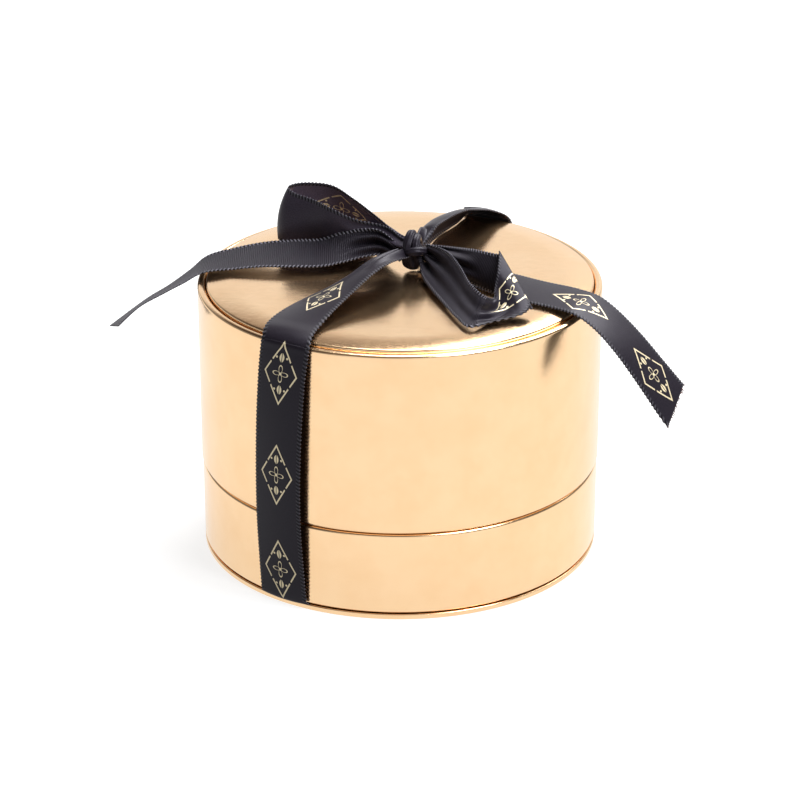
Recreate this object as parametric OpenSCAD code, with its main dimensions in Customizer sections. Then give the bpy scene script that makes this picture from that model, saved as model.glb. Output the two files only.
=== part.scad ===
// A round rigid gift box of wrapped board: a base with an inner neck, a lid that
// lifts off the neck, a pad that lifts out, and a satin ribbon that runs under
// the base and up both sides, tied in a bow on the lid.
// Millimetres, +Z up. The origin is on the table, under the middle of the base.

/* [Box] */
// Outside diameter of the lid, over its wrap
box_d = 120; // [100:1:150]
// Height of the closed box, from the table to the middle of the lid
box_h = 84; // [70:1:110]
// Height of the lid's lower edge, where it meets the base
seam_h = 27.4; // [24:0.2:36]
// Gap between the lid's lower edge and the base's rim
seam_gap = 0.3; // [0.2:0.1:0.6]
// Radius of the rounded rims, over the wrap
rim_r = 1; // [0.6:0.1:1.1]

/* [Board and paper] */
// Thickness of the rolled board of the lid and base tubes
tube_board = 2; // [1.8:0.1:2.6]
// Thickness of the board of the floor
floor_board = 2; // [1.5:0.1:3]
// Thickness of the board disc that covers the underside
cover_board = 1.2; // [1:0.1:2]
// Thickness of the board of the neck
neck_board = 1.5; // [1.3:0.1:2]
// Thickness of the foil paper and of the lining paper
foil = 0.2; // [0.15:0.05:0.3]
// How far the foil paper is turned in over each edge of the board
turn_in = 10; // [6:0.5:11]

/* [Lid] */
// Thickness of the board disc that closes the lid
top_board = 2.6; // [2:0.1:3.5]
// How far the middle of the disc stands above the rim of the lid's tube
top_proud = 1.6; // [1.2:0.1:2]
// Gap between the disc and the tube round it
top_gap = 0.2; // [0.15:0.05:0.3]
// Width of the band where the disc rolls down towards its edge
roll_w = 9.5; // [6:0.5:14]
// How far the disc rolls down at its edge
roll_drop = 0.9; // [0.5:0.1:1.2]
// Radius of the disc's tight edge, over the wrap
top_edge_r = 0.7; // [0.5:0.1:0.8]

/* [Neck] */
// How far the neck stands above the base's rim
neck_rise = 18; // [12:0.5:24]
// Running gap between the neck and the inside of the lid
neck_fit = 0.3; // [0.3:0.05:0.5]
// Radius of the neck's top edge, over its paper
neck_edge_r = 0.6; // [0.4:0.1:0.7]

/* [Pad] */
// Gap between the pad and the inside of the neck
pad_fit = 0.5; // [0.4:0.1:1]
// Thickness of the card under the pad
pad_card_t = 1.5; // [1:0.1:2]
// Thickness of the velvet over the foam
velvet = 0.6; // [0.4:0.1:0.8]
// Height of the foam at the pad's edge
foam_h = 13; // [10:0.5:16]
// How far the middle of the pad stands above its edge
pad_crown = 2.4; // [1:0.2:4]
// Radius of the pad's shoulder, over the velvet
pad_shoulder_r = 4; // [2:0.5:6]
// Length of the ring slit in the pad
slit_len = 30; // [20:1:40]
// Width of the slits
slit_w = 1.6; // [1.2:0.1:2.4]
// Depth of the ring slit under the middle of the pad
slit_deep = 9; // [5:0.5:10]
// Length of each chain slit, next to the pad's edge
chain_slit_len = 9; // [6:0.5:14]
// Distance of the chain slits and the pull tab from the pad's edge
edge_slit_in = 11.9; // [9:0.1:18]
// Thickness of the doubled ribbon of the pull tab
tab_t = 0.7; // [0.5:0.1:1]
// Width of the pull tab
tab_w = 12; // [8:0.5:16]
// How far the pull tab stands out of the pad
tab_h = 9; // [6:0.5:12]
// How deep the pull tab is set in the foam
tab_deep = 8; // [5:0.5:9]
// Gap round the pull tab where it goes through the pad
tab_gap = 0.3; // [0.2:0.1:0.4]

/* [Ribbon] */
// Width of the satin ribbon
ribbon_w = 16; // [13:0.5:19]
// Thickness of the ribbon
ribbon_t = 0.3; // [0.2:0.05:0.4]
// Least gap between the ribbon and the box
ribbon_gap = 0.3; // [0.3:0.05:0.6]
// Turn of the ribbon's run under the base, away from the front
ribbon_turn = 34.2; // [25:0.1:45]

/* [Hidden] */
$fn = 96;

box_r = box_d / 2;
// Overrun of every cut past the face that it opens
cut = 1;

// Lid tube, from its board's radii to its rims
lid_out_r = box_r - foil;
lid_board_in_r = lid_out_r - tube_board;
lid_in_r = lid_board_in_r - foil;
rim_h = box_h - top_proud;

// Top disc
top_r = lid_in_r - top_gap;
top_under_h = box_h - top_board - 2 * foil;
roll_r = (roll_w * roll_w + roll_drop * roll_drop) / (2 * roll_drop);

// Neck and base, from the inside of the lid inwards and outwards
neck_out_r = lid_in_r - neck_fit;
neck_in_r = neck_out_r - neck_board - 2 * foil;
base_board_in_r = neck_out_r + foil;
base_r = base_board_in_r + tube_board + foil;
cover_t = cover_board + 2 * foil;
tube_low = cover_t + ribbon_t;
base_rim_h = seam_h - seam_gap;
floor_top = tube_low + floor_board;
neck_top = base_rim_h + neck_rise;

// Pad
pad_low = floor_top + foil;
pad_r = neck_in_r - pad_fit;
pad_edge_h = pad_card_t + foam_h + velvet;
pad_crown_r = (pad_r * pad_r + pad_crown * pad_crown) / (2 * pad_crown);
pad_top = pad_low + pad_edge_h + pad_crown;
edge_slit_at = pad_r - edge_slit_in;

board_colour = [0.62, 0.58, 0.52];
paper_colour = [0.93, 0.90, 0.83];
gold_colour = [0.93, 0.75, 0.47];
velvet_colour = [0.10, 0.09, 0.12];
foam_colour = [0.85, 0.84, 0.80];
ribbon_colour = [0.14, 0.13, 0.18];

// Wall of a tube in section, with round edges
module wall_section(in_r, out_r, low, high, edge_r) {
    translate([in_r + edge_r, low]) square([out_r - in_r - 2 * edge_r, high - low]);
    translate([in_r, low + edge_r]) square([out_r - in_r, high - low - 2 * edge_r]);
    for (r = [in_r + edge_r, out_r - edge_r], z = [low + edge_r, high - edge_r])
        translate([r, z]) circle(edge_r);
}

// Board tube with round edges
module board_tube(in_r, out_r, low, high, edge_r) {
    rotate_extrude() wall_section(in_r, out_r, low, high, edge_r);
}

// Foil over a board tube: outside, over both edges and turned in behind them
module tube_foil(in_r, out_r, low, high, edge_r) {
    rotate_extrude() difference() {
        wall_section(in_r - foil, out_r + foil, low, high, edge_r);
        wall_section(in_r, out_r, low + foil, high - foil, edge_r - foil);
        translate([in_r - foil - cut, low + turn_in]) square([foil + cut, high - low - 2 * turn_in]);
    }
}

// Half section of the lid's disc, a given distance inside its wrap: flat in the
// middle, a wide roll down, and a tight round edge that meets the roll smoothly
module top_section(inside) {
    roll_x = top_r - roll_w;
    roll_z = box_h - roll_r;
    edge_x = top_r - top_edge_r;
    reach = roll_r - top_edge_r;
    edge_z = roll_z + sqrt(reach * reach - (edge_x - roll_x) * (edge_x - roll_x));
    meet_x = roll_x + (edge_x - roll_x) * (roll_r - inside) / reach;
    low = top_under_h + inside;
    translate([0, low]) square([roll_x, box_h - inside - low]);
    translate([0, low]) square([top_r - inside, edge_z - low]);
    translate([edge_x, edge_z]) circle(top_edge_r - inside);
    intersection() {
        translate([roll_x, roll_z]) circle(roll_r - inside, $fn = 720);
        translate([roll_x, low]) square([meet_x - roll_x, box_h - low]);
    }
}

// Half section of the pad, a given distance inside its velvet: a crowned top
// and a round shoulder over upright sides
module pad_section(inside, low) {
    edge_z = pad_low + pad_edge_h;
    crown_z = edge_z + pad_crown - pad_crown_r;
    shoulder_x = pad_r - pad_shoulder_r;
    reach = pad_crown_r - pad_shoulder_r;
    shoulder_z = crown_z + sqrt(reach * reach - shoulder_x * shoulder_x);
    meet_x = shoulder_x * (pad_crown_r - inside) / reach;
    translate([0, low]) square([pad_r - inside, shoulder_z - low]);
    translate([shoulder_x, shoulder_z]) circle(pad_shoulder_r - inside);
    intersection() {
        translate([0, crown_z]) circle(pad_crown_r - inside, $fn = 720);
        translate([0, low]) square([meet_x, pad_top - low]);
    }
}

// Everything that is cut into the pad: the ring slit, two chain slits, and the
// pocket of the pull tab
module pad_slits() {
    translate([-slit_len / 2, -slit_w / 2, pad_top - slit_deep])
        cube([slit_len, slit_w, slit_deep + cut]);
    for (side = [-1, 1])
        translate([side * edge_slit_at - slit_w / 2, -chain_slit_len / 2, pad_top - slit_deep])
            cube([slit_w, chain_slit_len, slit_deep + cut]);
    translate([-tab_w / 2 - tab_gap, edge_slit_at - tab_t / 2 - tab_gap, pad_top - tab_deep - tab_gap])
        cube([tab_w + 2 * tab_gap, tab_t + 2 * tab_gap, tab_deep + tab_gap + cut]);
}

// Ribbon. Each row is one station along a stretch of ribbon. The first three
// numbers place one edge: across and back in shares of the box's radius, and up
// from the middle of the lid in shares of the ribbon's width. The next two are
// the compass turn and the rise, in degrees, of the line across the ribbon. The
// last two are the span of that line and the bulge of the ribbon over it, in
// shares of the ribbon's width: less than the full width where it is gathered.
front_strap_shares = [
    [0.050, -0.034, 0.38, 150, -15, 0.36, -0.10],
    [-0.043, -0.200, 0.50, 142, -22, 0.66, -0.12],
    [-0.127, -0.317, 0.45, 143, -24, 0.85, -0.10],
    [-0.222, -0.460, 0.31, 147, -16, 0.97, -0.05],
    [-0.313, -0.617, 0.18, 148, -8, 1.00, -0.03],
    [-0.377, -0.750, 0.08, 148, -2, 1.00, -0.03],
    [-0.408, -0.850, 0.05, 148, -1, 1.00, -0.03]];
back_strap_shares = [
    [0.110, 0.108, 0.36, 148, 0, 0.36, 0.06],
    [0.153, 0.177, 0.487, 144.1, -29.5, 0.35, 0.16],
    [0.187, 0.232, 0.619, 129.5, -48.6, 0.62, 0.24],
    [0.235, 0.312, 0.637, 122.8, -47.6, 0.80, 0.24],
    [0.282, 0.388, 0.637, 115.9, -42.0, 0.91, 0.20],
    [0.342, 0.485, 0.588, 116.3, -38.9, 0.89, 0.16],
    [0.383, 0.553, 0.506, 114.0, -32.7, 0.88, 0.12],
    [0.432, 0.635, 0.394, 117.4, -24.3, 0.88, 0.08],
    [0.465, 0.692, 0.306, 122.1, -18.0, 0.89, 0.05],
    [0.505, 0.750, 0.191, 133.8, -10.4, 0.88, 0.04],
    [0.545, 0.793, 0.081, 145.2, -2.6, 0.95, 0.05]];
left_loop_shares = [
    [0.004, 0.096, 0.24, -80, 83, 0.36, -0.08],
    [-0.083, 0.205, 0.16, -72, 79, 0.54, -0.10],
    [-0.217, 0.275, 0.11, -92, 71, 0.70, -0.10],
    [-0.342, 0.300, 0.08, -82, 76, 0.88, -0.10],
    [-0.475, 0.350, 0.06, -22, 80, 0.96, -0.08],
    [-0.592, 0.392, 0.07, 31, 76, 0.99, -0.08],
    [-0.613, 0.467, 0.11, 17, 78, 0.99, -0.08],
    [-0.517, 0.525, 0.15, -40, 81, 0.99, -0.06],
    [-0.367, 0.525, 0.15, -69, 78, 0.98, -0.06],
    [-0.225, 0.450, 0.12, -103, 77, 0.84, -0.10],
    [-0.105, 0.305, 0.16, -152, 80, 0.62, -0.08],
    [-0.022, 0.180, 0.24, -120, 85, 0.36, -0.06]];
right_loop_shares = [
    [0.097, -0.032, 0.219, 39.2, 59.8, 0.406, -0.1],
    [0.111, -0.138, 0.125, 26.6, 51, 0.629, -0.14],
    [0.151, -0.289, 0.1, 42.5, 48.9, 0.74, -0.18],
    [0.209, -0.464, 0.081, 60.1, 39, 0.8, -0.18],
    [0.267, -0.636, 0.075, 69.1, 31.9, 0.8, -0.14],
    [0.325, -0.751, 0.069, 69.2, 30.5, 0.76, -0.07],
    [0.436, -0.688, 0.075, 87, 17.9, 0.66, -0.08],
    [0.533, -0.645, 0.1, 114.3, 22.3, 0.8, -0.08],
    [0.594, -0.609, 0.137, 121.2, 29.4, 1.05, -0.04],
    [0.619, -0.556, 0.175, 118.7, 31.1, 1.3, 0],
    [0.613, -0.55, 0.122, 118.7, 31.1, 1.3, 0],
    [0.433, -0.358, 0.162, 108.9, 42.8, 0.855, -0.08],
    [0.258, -0.15, 0.188, 75.5, 55.9, 0.519, -0.1],
    [0.138, -0.01, 0.244, 36.4, 51, 0.351, -0.06]];
left_tail_shares = [
    [0.000, 0.030, 0.20, 100, 65, 0.30, 0.05],
    [-0.092, 0.085, 0.24, 95, 62, 0.46, 0.07],
    [-0.183, 0.080, 0.21, 92, 45, 0.58, 0.07],
    [-0.285, 0.040, 0.16, 92, 26, 0.78, 0.05],
    [-0.387, -0.003, 0.14, 92, 13, 0.95, 0.04],
    [-0.533, -0.010, 0.14, 90, 10, 1.00, 0.02],
    [-0.678, 0.000, 0.13, 90, 7, 1.00, 0.02],
    [-0.825, -0.007, 0.09, 91, 3, 1.00, 0.02],
    [-0.968, -0.017, 0.04, 89, -2, 1.00, 0.02],
    [-1.075, 0.000, -0.20, 86, -6, 1.00, 0.02],
    [-1.190, 0.017, -0.46, 85, -10, 1.00, 0.02],
    [-1.298, 0.033, -0.72, 88, -13, 1.01, 0.01],
    [-1.408, 0.050, -1.13, 105, -21, 1.11, 0.00]];
right_tail_shares = [
    [0.082, -0.036, 0.08, 40, 10, 0.34, 0.04],
    [0.300, -0.167, 0.06, 60, 4, 0.80, 0.03],
    [0.458, -0.308, 0.05, 64, 2, 0.98, 0.02],
    [0.600, -0.415, 0.05, 66, 2, 1.00, 0.02],
    [0.730, -0.495, 0.05, 62, 2, 1.00, 0.02],
    [0.817, -0.560, 0.04, 60, 1, 1.00, 0.02],
    [0.882, -0.600, -0.06, 60, 0, 1.00, 0.02],
    [0.952, -0.650, -0.25, 60, 0, 1.00, 0.02],
    [1.040, -0.700, -0.61, 61, 4, 1.00, 0.02],
    [1.132, -0.733, -1.08, 60, 8, 1.00, 0.02],
    [1.225, -0.758, -1.59, 60, 16, 1.00, 0.01],
    [1.273, -0.770, -1.83, 68, 27, 1.05, 0.00]];

// Stations of the bands down the sides: height in shares of the lid's height,
// turn of the ribbon's middle away from the front or the back in degrees, and
// how far its two edges stand off the box in shares of the ribbon's width
front_band_shares = [
    [0.985, 32.2, 0.00, 0.00],
    [0.950, 32.5, 0.04, 0.02],
    [0.857, 33.2, 0.09, 0.04],
    [0.690, 34.0, 0.13, 0.06],
    [0.500, 34.6, 0.14, 0.06],
    [0.321, 34.8, 0.12, 0.05],
    [0.167, 34.5, 0.07, 0.03],
    [0.071, 34.3, 0.03, 0.01],
    [0.032, 34.2, 0.00, 0.00]];
back_band_shares = [
    [0.985, 27.2, 0.00, 0.00],
    [0.950, 27.8, 0.02, 0.02],
    [0.774, 30.3, 0.05, 0.05],
    [0.536, 32.4, 0.06, 0.06],
    [0.298, 33.5, 0.05, 0.05],
    [0.119, 34.1, 0.02, 0.02],
    [0.032, 34.2, 0.00, 0.00]];

// Stations up the knot: height above the middle of the lid, half width and half
// depth, in shares of the ribbon's width
knot_shares = [
    [0.05, 0.10, 0.11], [0.11, 0.18, 0.20], [0.24, 0.21, 0.25], [0.40, 0.20, 0.25],
    [0.55, 0.18, 0.22], [0.67, 0.15, 0.16], [0.74, 0.07, 0.08]];
// Middle of the knot, in shares of the box's radius
knot_at_shares = [0.065, 0.045];
knot_sides = 16;

// Sections between two stations, and segments across the ribbon
strip_steps = 3;
strip_segments = 2;
loop_segments = 4;

// Station as one row: an edge point, the line across, and the bulge
function station(row) =
    let (rise = row[4], turn = row[3], span = row[5] * ribbon_w)
    [row[0] * box_r, row[1] * box_r, box_h + row[2] * ribbon_w,
     span * cos(rise) * cos(turn), span * cos(rise) * sin(turn), span * sin(rise),
     row[6] * ribbon_w];

// Station of a band that stands off the side by two edge gaps. The line across
// is a chord, and its bulge follows the round of the box.
function band_station(row, middle, side) =
    let (r = box_r + ribbon_gap + ribbon_t,
         half = asin(ribbon_w / 2 / r),
         a = middle - row[1] + side * half,
         b = middle - row[1] - side * half,
         from = (r + row[2] * ribbon_w) * [cos(a), sin(a)],
         to = (r + row[3] * ribbon_w) * [cos(b), sin(b)])
    [from[0], from[1], row[0] * box_h, to[0] - from[0], to[1] - from[1], 0,
     -side * r * (1 - cos(half))];

// Smooth curve through rows of numbers, with equal steps between the rows
function blend(a, b, c, d, s) =
    0.5 * (2 * b + (c - a) * s + (2 * a - 5 * b + 4 * c - d) * s * s
           + (3 * b - a - 3 * c + d) * s * s * s);
function smooth(rows) =
    let (n = len(rows))
    [for (i = [0 : n - 2], k = [0 : strip_steps - (i == n - 2 ? 0 : 1)])
        blend(rows[max(i - 1, 0)], rows[i], rows[i + 1], rows[min(i + 2, n - 1)], k / strip_steps)];

function edge_of(row) = [row[0], row[1], row[2]];
function across_of(row) = [row[3], row[4], row[5]];
function unit(v) = v / norm(v);

// Square of the way along a strip at row i, from its middle line
function facing(rows, i) =
    let (back = rows[max(i - 1, 0)], on = rows[min(i + 1, len(rows) - 1)],
         way = edge_of(on) + across_of(on) / 2 - edge_of(back) - across_of(back) / 2)
    unit(cross(way, across_of(rows[i])));

// One ring of the strip's skin: across on one face and back on the other
function ring(rows, i, segments) =
    let (p = edge_of(rows[i]), d = across_of(rows[i]), n = facing(rows, i), bulge = rows[i][6],
         line = [for (k = [0 : segments])
             let (s = k / segments) p + d * s + n * bulge * 4 * s * (1 - s)])
    concat([for (k = [0 : segments]) line[k] + n * ribbon_t / 2],
           [for (k = [segments : -1 : 0]) line[k] - n * ribbon_t / 2]);

function rings_of(rows, segments) = [for (i = [0 : len(rows) - 1]) ring(rows, i, segments)];

// Closed skin over rings of equal count, with both ends shut across the ribbon
module strip(rings) {
    count = len(rings[0]);
    segments = count / 2 - 1;
    last = len(rings) - 1;
    polyhedron(
        points = [for (r = rings, p = r) p],
        faces = concat(
            [for (i = [0 : last - 1], k = [0 : count - 1])
                [i * count + k, i * count + (k + 1) % count, (i + 1) * count + k]],
            [for (i = [0 : last - 1], k = [0 : count - 1])
                [(i + 1) * count + k, i * count + (k + 1) % count, (i + 1) * count + (k + 1) % count]],
            [for (k = [0 : segments - 1]) [k, count - 1 - k, k + 1]],
            [for (k = [0 : segments - 1]) [k + 1, count - 1 - k, count - 2 - k]],
            [for (k = [0 : segments - 1])
                [last * count + k, last * count + k + 1, last * count + count - 1 - k]],
            [for (k = [0 : segments - 1])
                [last * count + k + 1, last * count + count - 2 - k, last * count + count - 1 - k]]));
}

// Whole run of one side, from the knot over the lid's rim and down to the base
front_run = rings_of(smooth(concat(
    [for (row = front_strap_shares) station(row)],
    [for (row = front_band_shares) band_station(row, 270, 1)])), strip_segments);
front_over = len(front_strap_shares) * strip_steps;
back_run = rings_of(smooth(concat(
    [for (row = back_strap_shares) station(row)],
    [for (row = back_band_shares) band_station(row, 90, -1)])), strip_segments);
back_over = len(back_strap_shares) * strip_steps;
function part_of(rings, first, last) = [for (i = [first : last]) rings[i]];

module base_cover_board() {
    color(board_colour)
        translate([0, 0, foil]) cylinder(r = base_r - foil, h = cover_board);
}

module base_cover_foil() {
    color(gold_colour) rotate_extrude() difference() {
        square([base_r, cover_t]);
        translate([0, foil]) square([base_r - foil, cover_board]);
        translate([0, foil + cover_board]) square([base_r - turn_in, foil + cut]);
    }
}

module ribbon_under_base() {
    color(ribbon_colour) rotate([0, 0, -ribbon_turn]) intersection() {
        translate([-ribbon_w / 2, -box_r, cover_t]) cube([ribbon_w, box_d, ribbon_t]);
        translate([0, 0, cover_t]) cylinder(r = base_r, h = ribbon_t);
    }
}

module base_floor_board() {
    color(board_colour)
        translate([0, 0, tube_low]) cylinder(r = base_board_in_r - foil, h = floor_board);
}

module base_tube() {
    color(board_colour)
        board_tube(base_board_in_r, base_r - foil, tube_low + foil, base_rim_h - foil, rim_r - foil);
}

module base_tube_foil() {
    color(gold_colour) tube_foil(base_board_in_r, base_r - foil, tube_low, base_rim_h, rim_r);
}

module neck_tube() {
    color(board_colour) rotate_extrude() difference() {
        wall_section(neck_in_r + foil, neck_out_r - foil, floor_top - neck_edge_r, neck_top - foil,
                     neck_edge_r - foil);
        square([neck_out_r, floor_top]);
    }
}

module neck_paper() {
    color(paper_colour) rotate_extrude() difference() {
        wall_section(neck_in_r, neck_out_r, floor_top - neck_edge_r, neck_top, neck_edge_r);
        wall_section(neck_in_r + foil, neck_out_r - foil, floor_top - neck_edge_r, neck_top - foil,
                     neck_edge_r - foil);
        square([neck_out_r, floor_top]);
    }
}

module base_floor_paper() {
    color(paper_colour) translate([0, 0, floor_top]) cylinder(r = neck_in_r, h = foil);
}

module pad_card() {
    color(board_colour) translate([0, 0, pad_low]) cylinder(r = pad_r - velvet, h = pad_card_t);
}

module pad_foam() {
    color(foam_colour) difference() {
        rotate_extrude() pad_section(velvet, pad_low + pad_card_t);
        pad_slits();
    }
}

module pad_velvet() {
    color(velvet_colour) difference() {
        rotate_extrude() difference() {
            pad_section(0, pad_low);
            pad_section(velvet, pad_low - cut);
        }
        pad_slits();
    }
}

module pad_pull_tab() {
    color(ribbon_colour) translate([0, edge_slit_at + tab_t / 2, pad_top - tab_deep])
        rotate([90, 0, 0]) linear_extrude(tab_t) {
            translate([-tab_w / 2, 0]) square([tab_w, tab_deep + tab_h - tab_w / 2]);
            translate([0, tab_deep + tab_h - tab_w / 2]) circle(tab_w / 2);
        }
}

module lid_tube() {
    color(board_colour)
        board_tube(lid_board_in_r, lid_out_r, seam_h + foil, rim_h - foil, rim_r - foil);
}

module lid_tube_foil() {
    color(gold_colour) tube_foil(lid_board_in_r, lid_out_r, seam_h, rim_h, rim_r);
}

module lid_top_board() {
    color(board_colour) rotate_extrude() top_section(foil);
}

module lid_top_foil() {
    color(gold_colour) rotate_extrude() difference() {
        top_section(0);
        top_section(foil);
        translate([0, top_under_h - cut]) square([top_r - turn_in, foil + cut]);
    }
}

module lid_top_paper() {
    color(paper_colour) translate([0, 0, top_under_h - foil]) cylinder(r = top_r, h = foil);
}

module lid_wall_paper() {
    color(paper_colour) rotate_extrude()
        translate([lid_in_r, seam_h + turn_in]) square([foil, rim_h - seam_h - 2 * turn_in]);
}

module ribbon_front_strap() {
    color(ribbon_colour) strip(part_of(front_run, 0, front_over));
}

module ribbon_front_band() {
    color(ribbon_colour) strip(part_of(front_run, front_over, len(front_run) - 1));
}

module ribbon_back_strap() {
    color(ribbon_colour) strip(part_of(back_run, 0, back_over));
}

module ribbon_back_band() {
    color(ribbon_colour) strip(part_of(back_run, back_over, len(back_run) - 1));
}

module ribbon_knot() {
    rings = [for (row = knot_shares) [for (k = [0 : knot_sides - 1])
        let (a = 360 * k / knot_sides)
        [knot_at_shares[0] * box_r + row[1] * ribbon_w * cos(a),
         knot_at_shares[1] * box_r + row[2] * ribbon_w * sin(a),
         box_h + row[0] * ribbon_w]]];
    last = len(rings) - 1;
    n = knot_sides;
    color(ribbon_colour) polyhedron(
        points = [for (r = rings, p = r) p],
        faces = concat(
            [for (i = [0 : last - 1], k = [0 : n - 1]) [i * n + k, (i + 1) * n + k, i * n + (k + 1) % n]],
            [for (i = [0 : last - 1], k = [0 : n - 1])
                [(i + 1) * n + k, (i + 1) * n + (k + 1) % n, i * n + (k + 1) % n]],
            [for (k = [1 : n - 2]) [0, k, k + 1]],
            [for (k = [1 : n - 2]) [last * n, last * n + k + 1, last * n + k]]));
}

module ribbon_left_loop() {
    color(ribbon_colour)
        strip(rings_of(smooth([for (row = left_loop_shares) station(row)]), loop_segments));
}

module ribbon_right_loop() {
    color(ribbon_colour)
        strip(rings_of(smooth([for (row = right_loop_shares) station(row)]), loop_segments));
}

module ribbon_left_tail() {
    color(ribbon_colour)
        strip(rings_of(smooth([for (row = left_tail_shares) station(row)]), strip_segments));
}

module ribbon_right_tail() {
    color(ribbon_colour)
        strip(rings_of(smooth([for (row = right_tail_shares) station(row)]), strip_segments));
}

base_cover_board();
base_cover_foil();
ribbon_under_base();
base_floor_board();
base_tube();
base_tube_foil();
neck_tube();
neck_paper();
base_floor_paper();
pad_card();
pad_foam();
pad_velvet();
pad_pull_tab();
lid_tube();
lid_tube_foil();
lid_top_board();
lid_top_foil();
lid_top_paper();
lid_wall_paper();
ribbon_front_strap();
ribbon_front_band();
ribbon_back_strap();
ribbon_back_band();
ribbon_knot();
ribbon_left_loop();
ribbon_right_loop();
ribbon_left_tail();
ribbon_right_tail();
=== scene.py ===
# Round gift box of board wrapped in gold foil paper, tied with a printed satin
# ribbon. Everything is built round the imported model. Sizes here are in
# millimetres and become metres when a mesh is made.
import math
import bmesh
import bpy
import numpy as np
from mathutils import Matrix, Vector


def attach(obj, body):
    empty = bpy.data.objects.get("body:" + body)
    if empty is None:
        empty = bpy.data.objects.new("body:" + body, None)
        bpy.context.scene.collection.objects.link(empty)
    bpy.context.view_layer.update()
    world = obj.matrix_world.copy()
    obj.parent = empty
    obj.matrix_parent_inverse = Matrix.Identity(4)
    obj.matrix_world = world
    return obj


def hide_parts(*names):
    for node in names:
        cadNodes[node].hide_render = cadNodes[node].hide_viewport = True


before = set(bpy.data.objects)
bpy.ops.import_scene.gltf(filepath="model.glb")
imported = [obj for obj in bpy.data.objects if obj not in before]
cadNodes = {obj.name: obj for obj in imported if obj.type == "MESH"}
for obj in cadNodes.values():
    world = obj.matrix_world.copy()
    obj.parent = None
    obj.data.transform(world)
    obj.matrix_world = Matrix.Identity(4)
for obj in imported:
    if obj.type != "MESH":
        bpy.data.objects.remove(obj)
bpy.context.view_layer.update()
scene = bpy.context.scene
scene.view_settings.view_transform = "Standard"
mm = 0.001
print("stage 1: packed model loaded,", len(cadNodes), "nodes")

# Main sizes of the box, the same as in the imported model
box = {"radius": 60.0, "height": 84.0, "seam": 27.4, "baseRim": 27.1, "rim": 82.4, "foil": 0.2,
       "turnIn": 10.0, "lidInner": 57.6, "baseRadius": 59.7, "baseInner": 57.3, "baseLow": 1.9,
       "rimRound": 1.0, "ribbonWidth": 16.0, "ribbonThick": 0.3, "ribbonGap": 0.3}

cameraSet = {"place": (0, -779.34, 383.42), "look": (0, 0.91645, -0.40015), "lens": 126.72}
lightSet = {"worldDiffuse": 0.20, "worldTone": (1.0, 0.99, 0.975),
            "keyPlace": (350, 430, 930), "keySize": 900, "keyWatts": 22.0, "sideDim": 0.75,
            "fillPlace": (480, -420, 760), "fillSize": 420, "fillWatts": 7.0,
            "floorTone": 0.35, "seenLift": 0.80, "mirrorShare": 0.30, "mirrorLift": 0.90}


# Camera, world, lamp and floor
def aim(thing, direction):
    thing.rotation_euler = Vector(direction).to_track_quat("-Z", "Y").to_euler()


# New object in the scene, for a mesh, a lamp or a camera
def placed(name, data):
    thing = bpy.data.objects.new(name, data)
    scene.collection.objects.link(thing)
    return thing


# A material's or a world's shader tree, with nothing in it
def emptyTree(owner):
    owner.use_nodes = True
    owner.node_tree.nodes.clear()
    return owner.node_tree


# The photo's camera, from its place, its way of looking and its lens
def makeCamera():
    data = bpy.data.cameras.new("camera")
    data.lens = cameraSet["lens"]
    data.sensor_width = 36
    data.clip_start = 0.01
    data.clip_end = 50
    thing = placed("camera", data)
    thing.location = Vector(cameraSet["place"]) * mm
    aim(thing, cameraSet["look"])
    scene.camera = thing


# A step of shader maths. Flipped, the other value comes first, as in one less the signal.
def mathsStep(operation, flip=False):
    def step(self, *others):
        node = self.tree.nodes.new("ShaderNodeMath")
        node.operation = operation
        for place, item in zip(node.inputs, others + (self,) if flip else (self,) + others):
            plug(self.tree, place, item)
        return Signal(self.tree, node.outputs[0])
    return step


# Wraps a node's socket, so that shader maths reads as a plain expression on it
class Signal:
    def __init__(self, tree, socket):
        self.tree = tree
        self.socket = socket

    __add__ = __radd__ = mathsStep("ADD")
    __mul__ = __rmul__ = mathsStep("MULTIPLY")
    __sub__, __rsub__ = mathsStep("SUBTRACT"), mathsStep("SUBTRACT", True)
    __truediv__, __pow__ = mathsStep("DIVIDE"), mathsStep("POWER")
    size, fraction = mathsStep("ABSOLUTE"), mathsStep("FRACT")
    most, least = mathsStep("MAXIMUM"), mathsStep("MINIMUM")
    wave, cosine, angleOver = mathsStep("SINE"), mathsStep("COSINE"), mathsStep("ARCTAN2")

    # 0 below low, 1 above high, straight between them
    def between(self, low, high):
        return ((self - low) * (1 / (high - low))).most(0).least(1)


# Puts a link, a tone or a number into a socket
def plug(tree, place, item):
    if isinstance(item, Signal):
        tree.links.new(item.socket, place)
    elif isinstance(item, tuple) and len(item) == 3 and len(place.default_value) == 4:
        place.default_value = item + (1,)
    else:
        place.default_value = item


# Adds any other node: its kind, its settings, the values of its sockets, and the output wanted
def addNode(tree, kind, settings=None, sockets=None, output=0):
    node = tree.nodes.new(kind)
    for name, item in (settings or {}).items():
        if name == "stops":
            ramp = node.color_ramp
            while len(ramp.elements) < len(item):
                ramp.elements.new(0.5)
            for element, (place, tone) in zip(ramp.elements, item):
                element.position = place
                element.color = tuple(tone) + (1,)
        else:
            setattr(node, name, item)
    for name, item in (sockets or {}).items():
        plug(tree, node.inputs[name], item)
    return Signal(tree, node.outputs[output])


# A tone, each part of it times a number
def lighter(tone, times):
    return tuple(times * part for part in tone)


# Two tones mixed: share 0 gives the first, and 1 the second
def mixTone(tree, share, first, second):
    sockets = {0: share, 6: first, 7: second}
    return addNode(tree, "ShaderNodeMix", {"data_type": "RGBA"}, sockets, 2)


# Whether a ray comes from the camera, and whether it is a mirror ray
def rayKinds(tree):
    path = tree.nodes.new("ShaderNodeLightPath")
    return [Signal(tree, path.outputs[name]) for name in ("Is Camera Ray", "Is Glossy Ray")]


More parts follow.
